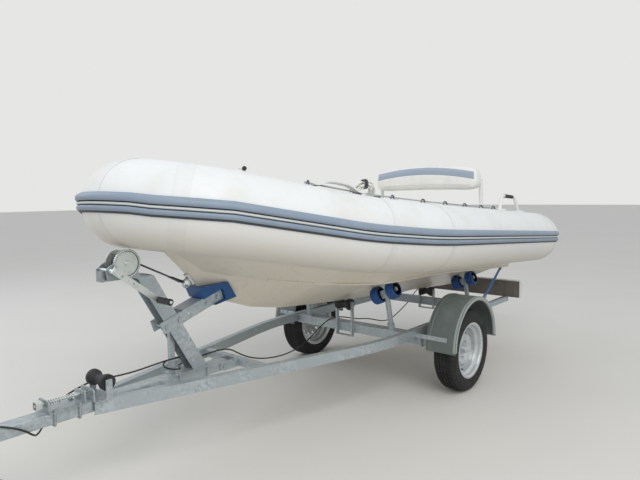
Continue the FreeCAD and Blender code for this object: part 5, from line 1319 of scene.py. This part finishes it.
for side_name, flip in SIDES:
    a, b = AXIS[2], AXIS[3]
    share = (0.996 - a.x) / (b.x - a.x)
    axis_point = a.lerp(b, share)
    run = (b - a).normalized()
    side = Vector((-run.y, run.x, 0)).normalized()
    up = run.cross(side).normalized()
    up = up if up.z > 0 else -up
    place = axis_point + up * TUBE_R
    place, run, up = on_side(flip, place, run, up)
    oval = turned_piece("bow_patch_" + side_name, [(0, 2.6), (60, 2.6), (84, 2.2), (88, 1.2), (90, -0.4)], 64)
    for vertex in oval.data.vertices:
        vertex.co.y *= 0.72
    hand_over(on_skin(oval, place, up, run), ROOT, "tube_fabric", TAPE_WHITE)
    across_tube = up.cross(run).normalized() * flip
    base = turned_piece("fairlead_base", [(0, 8), (24, 8), (30, 6), (33, 2), (33, 0)], 40)
    on_skin(base, place, up, run)
    barrel = turned_piece("fairlead_barrel", [
        (0, -30), (8, -30), (9.5, -27), (9.5, 20), (8.5, 23), (0, 23)], 32)
    along(barrel, place + up * 0.016, across_tube)
    hand_over(joined("bow_fairlead_" + side_name, [base, barrel]), ROOT, "frame_white", WHITE_PLASTIC)
    turned_on("bow_fairlead_end_" + side_name, [(0, 22), (9, 22), (10.6, 25), (10.6, 31), (9.4, 33), (0, 33)],
              32, place + up * 0.016, across_tube, ROOT, "black_rubber", BLACK_RUBBER)
print("grip, sleeves, carry handles and fairleads")

# %% [markdown]
# The hull has a moulded spray rail along each chine, which shows as a bright line under the tube. It follows the
# chine from the transom forward towards the stem.

# %% Spray rails and drain plug
CHINE = [(-1212, 520, 701), (-900, 528, 722), (-600, 535, 743), (-300, 542, 766), (0, 547, 788),
         (325, 518, 790), (650, 478, 788), (850, 404, 803), (1050, 320, 825), (1180, 238, 844),
         (1300, 156, 865)]
for side_name, flip in SIDES:
    route = [from_axle(x, y * flip, z) for x, y, z in CHINE]
    rail = tube_along("spray_rail_" + side_name, route, 0.0085)
    hand_over(rail, ROOT, "gelcoat", GELCOAT)
turned_on("drain_plug", [(0, 0), (20, 0), (20, 3), (17, 4), (13, 4), (13, 12), (11, 13.5), (0, 13.5)],
          40, from_axle(-1214.8, 0, 585), (-1, 0, 0), ROOT, "black_rubber", BLACK_PLASTIC)
print("spray rails and drain plug")

# %% [markdown]
# ## Floor and light
# The floor is a plain pale sheet. One even, bright sky lights everything, as an overcast day does. A large soft
# lamp high on the port bow side gives the tubes their gentle shading, and a weaker one on the other side keeps the
# shadows open.

# %% Floor, sky and lamps
bpy.ops.object.select_all(action="DESELECT")
bpy.ops.mesh.primitive_plane_add(size=120, location=(0, 0, -0.0005))
floor = bpy.context.object
floor.name = "studio_floor"
paper, tree, shader, where = start_material("Plain pale floor", "#d8d5cf", 0.9)
soft = add_node(tree, "ShaderNodeTexNoise", {"Vector": where, "Scale": 1.5, "Detail": 2.0})
tones = add_node(tree, "ShaderNodeMix", {0: soft, 6: "#d6d3cd", 7: "#dbd8d2"}, data_type="RGBA")
plug_in(tree, shader, {"Base Color": tones})
floor.data.materials.append(paper)

world = bpy.data.worlds.new("studio_sky")
scene.world = world
world.use_nodes = True
tree = world.node_tree
tree.nodes.clear()
ray = add_node(tree, "ShaderNodeLightPath")
seen = ray.outputs["Is Camera Ray"]
for kind in ("Is Transmission Ray", "Is Glossy Ray"):
    seen = add_node(tree, "ShaderNodeMath", {0: seen, 1: ray.outputs[kind]}, operation="MAXIMUM")
lit = add_node(tree, "ShaderNodeBackground", {"Color": "#ebf0f5", "Strength": 0.8})
shown = add_node(tree, "ShaderNodeBackground", {"Color": "#e6e6e4", "Strength": 1.0})
either = add_node(tree, "ShaderNodeMixShader", {0: seen, 1: lit, 2: shown})
add_node(tree, "ShaderNodeOutputWorld", {"Surface": either})

LAMPS = [
    # name, place, aim, size, power, colour
    ("key_softbox", (3.5, 5.0, 5.5), (0, 0, 0.8), 5.0, 260, "#fffdfa"),
    ("fill_softbox", (3.0, -5.0, 4.5), (0, 0, 0.8), 5.0, 90, "#f2f6ff"),
]
for name, place, aim, size, power, tint in LAMPS:
    bpy.ops.object.light_add(type="AREA", location=place)
    lamp = bpy.context.object
    lamp.name = name
    lamp.data.shape = "SQUARE"
    lamp.data.size = size
    lamp.data.energy = power
    lamp.data.color = linear(tint)[:3]
    lamp.rotation_euler = (Vector(aim) - Vector(place)).to_track_quat("-Z", "Y").to_euler()
scene.view_settings.view_transform = "Standard"
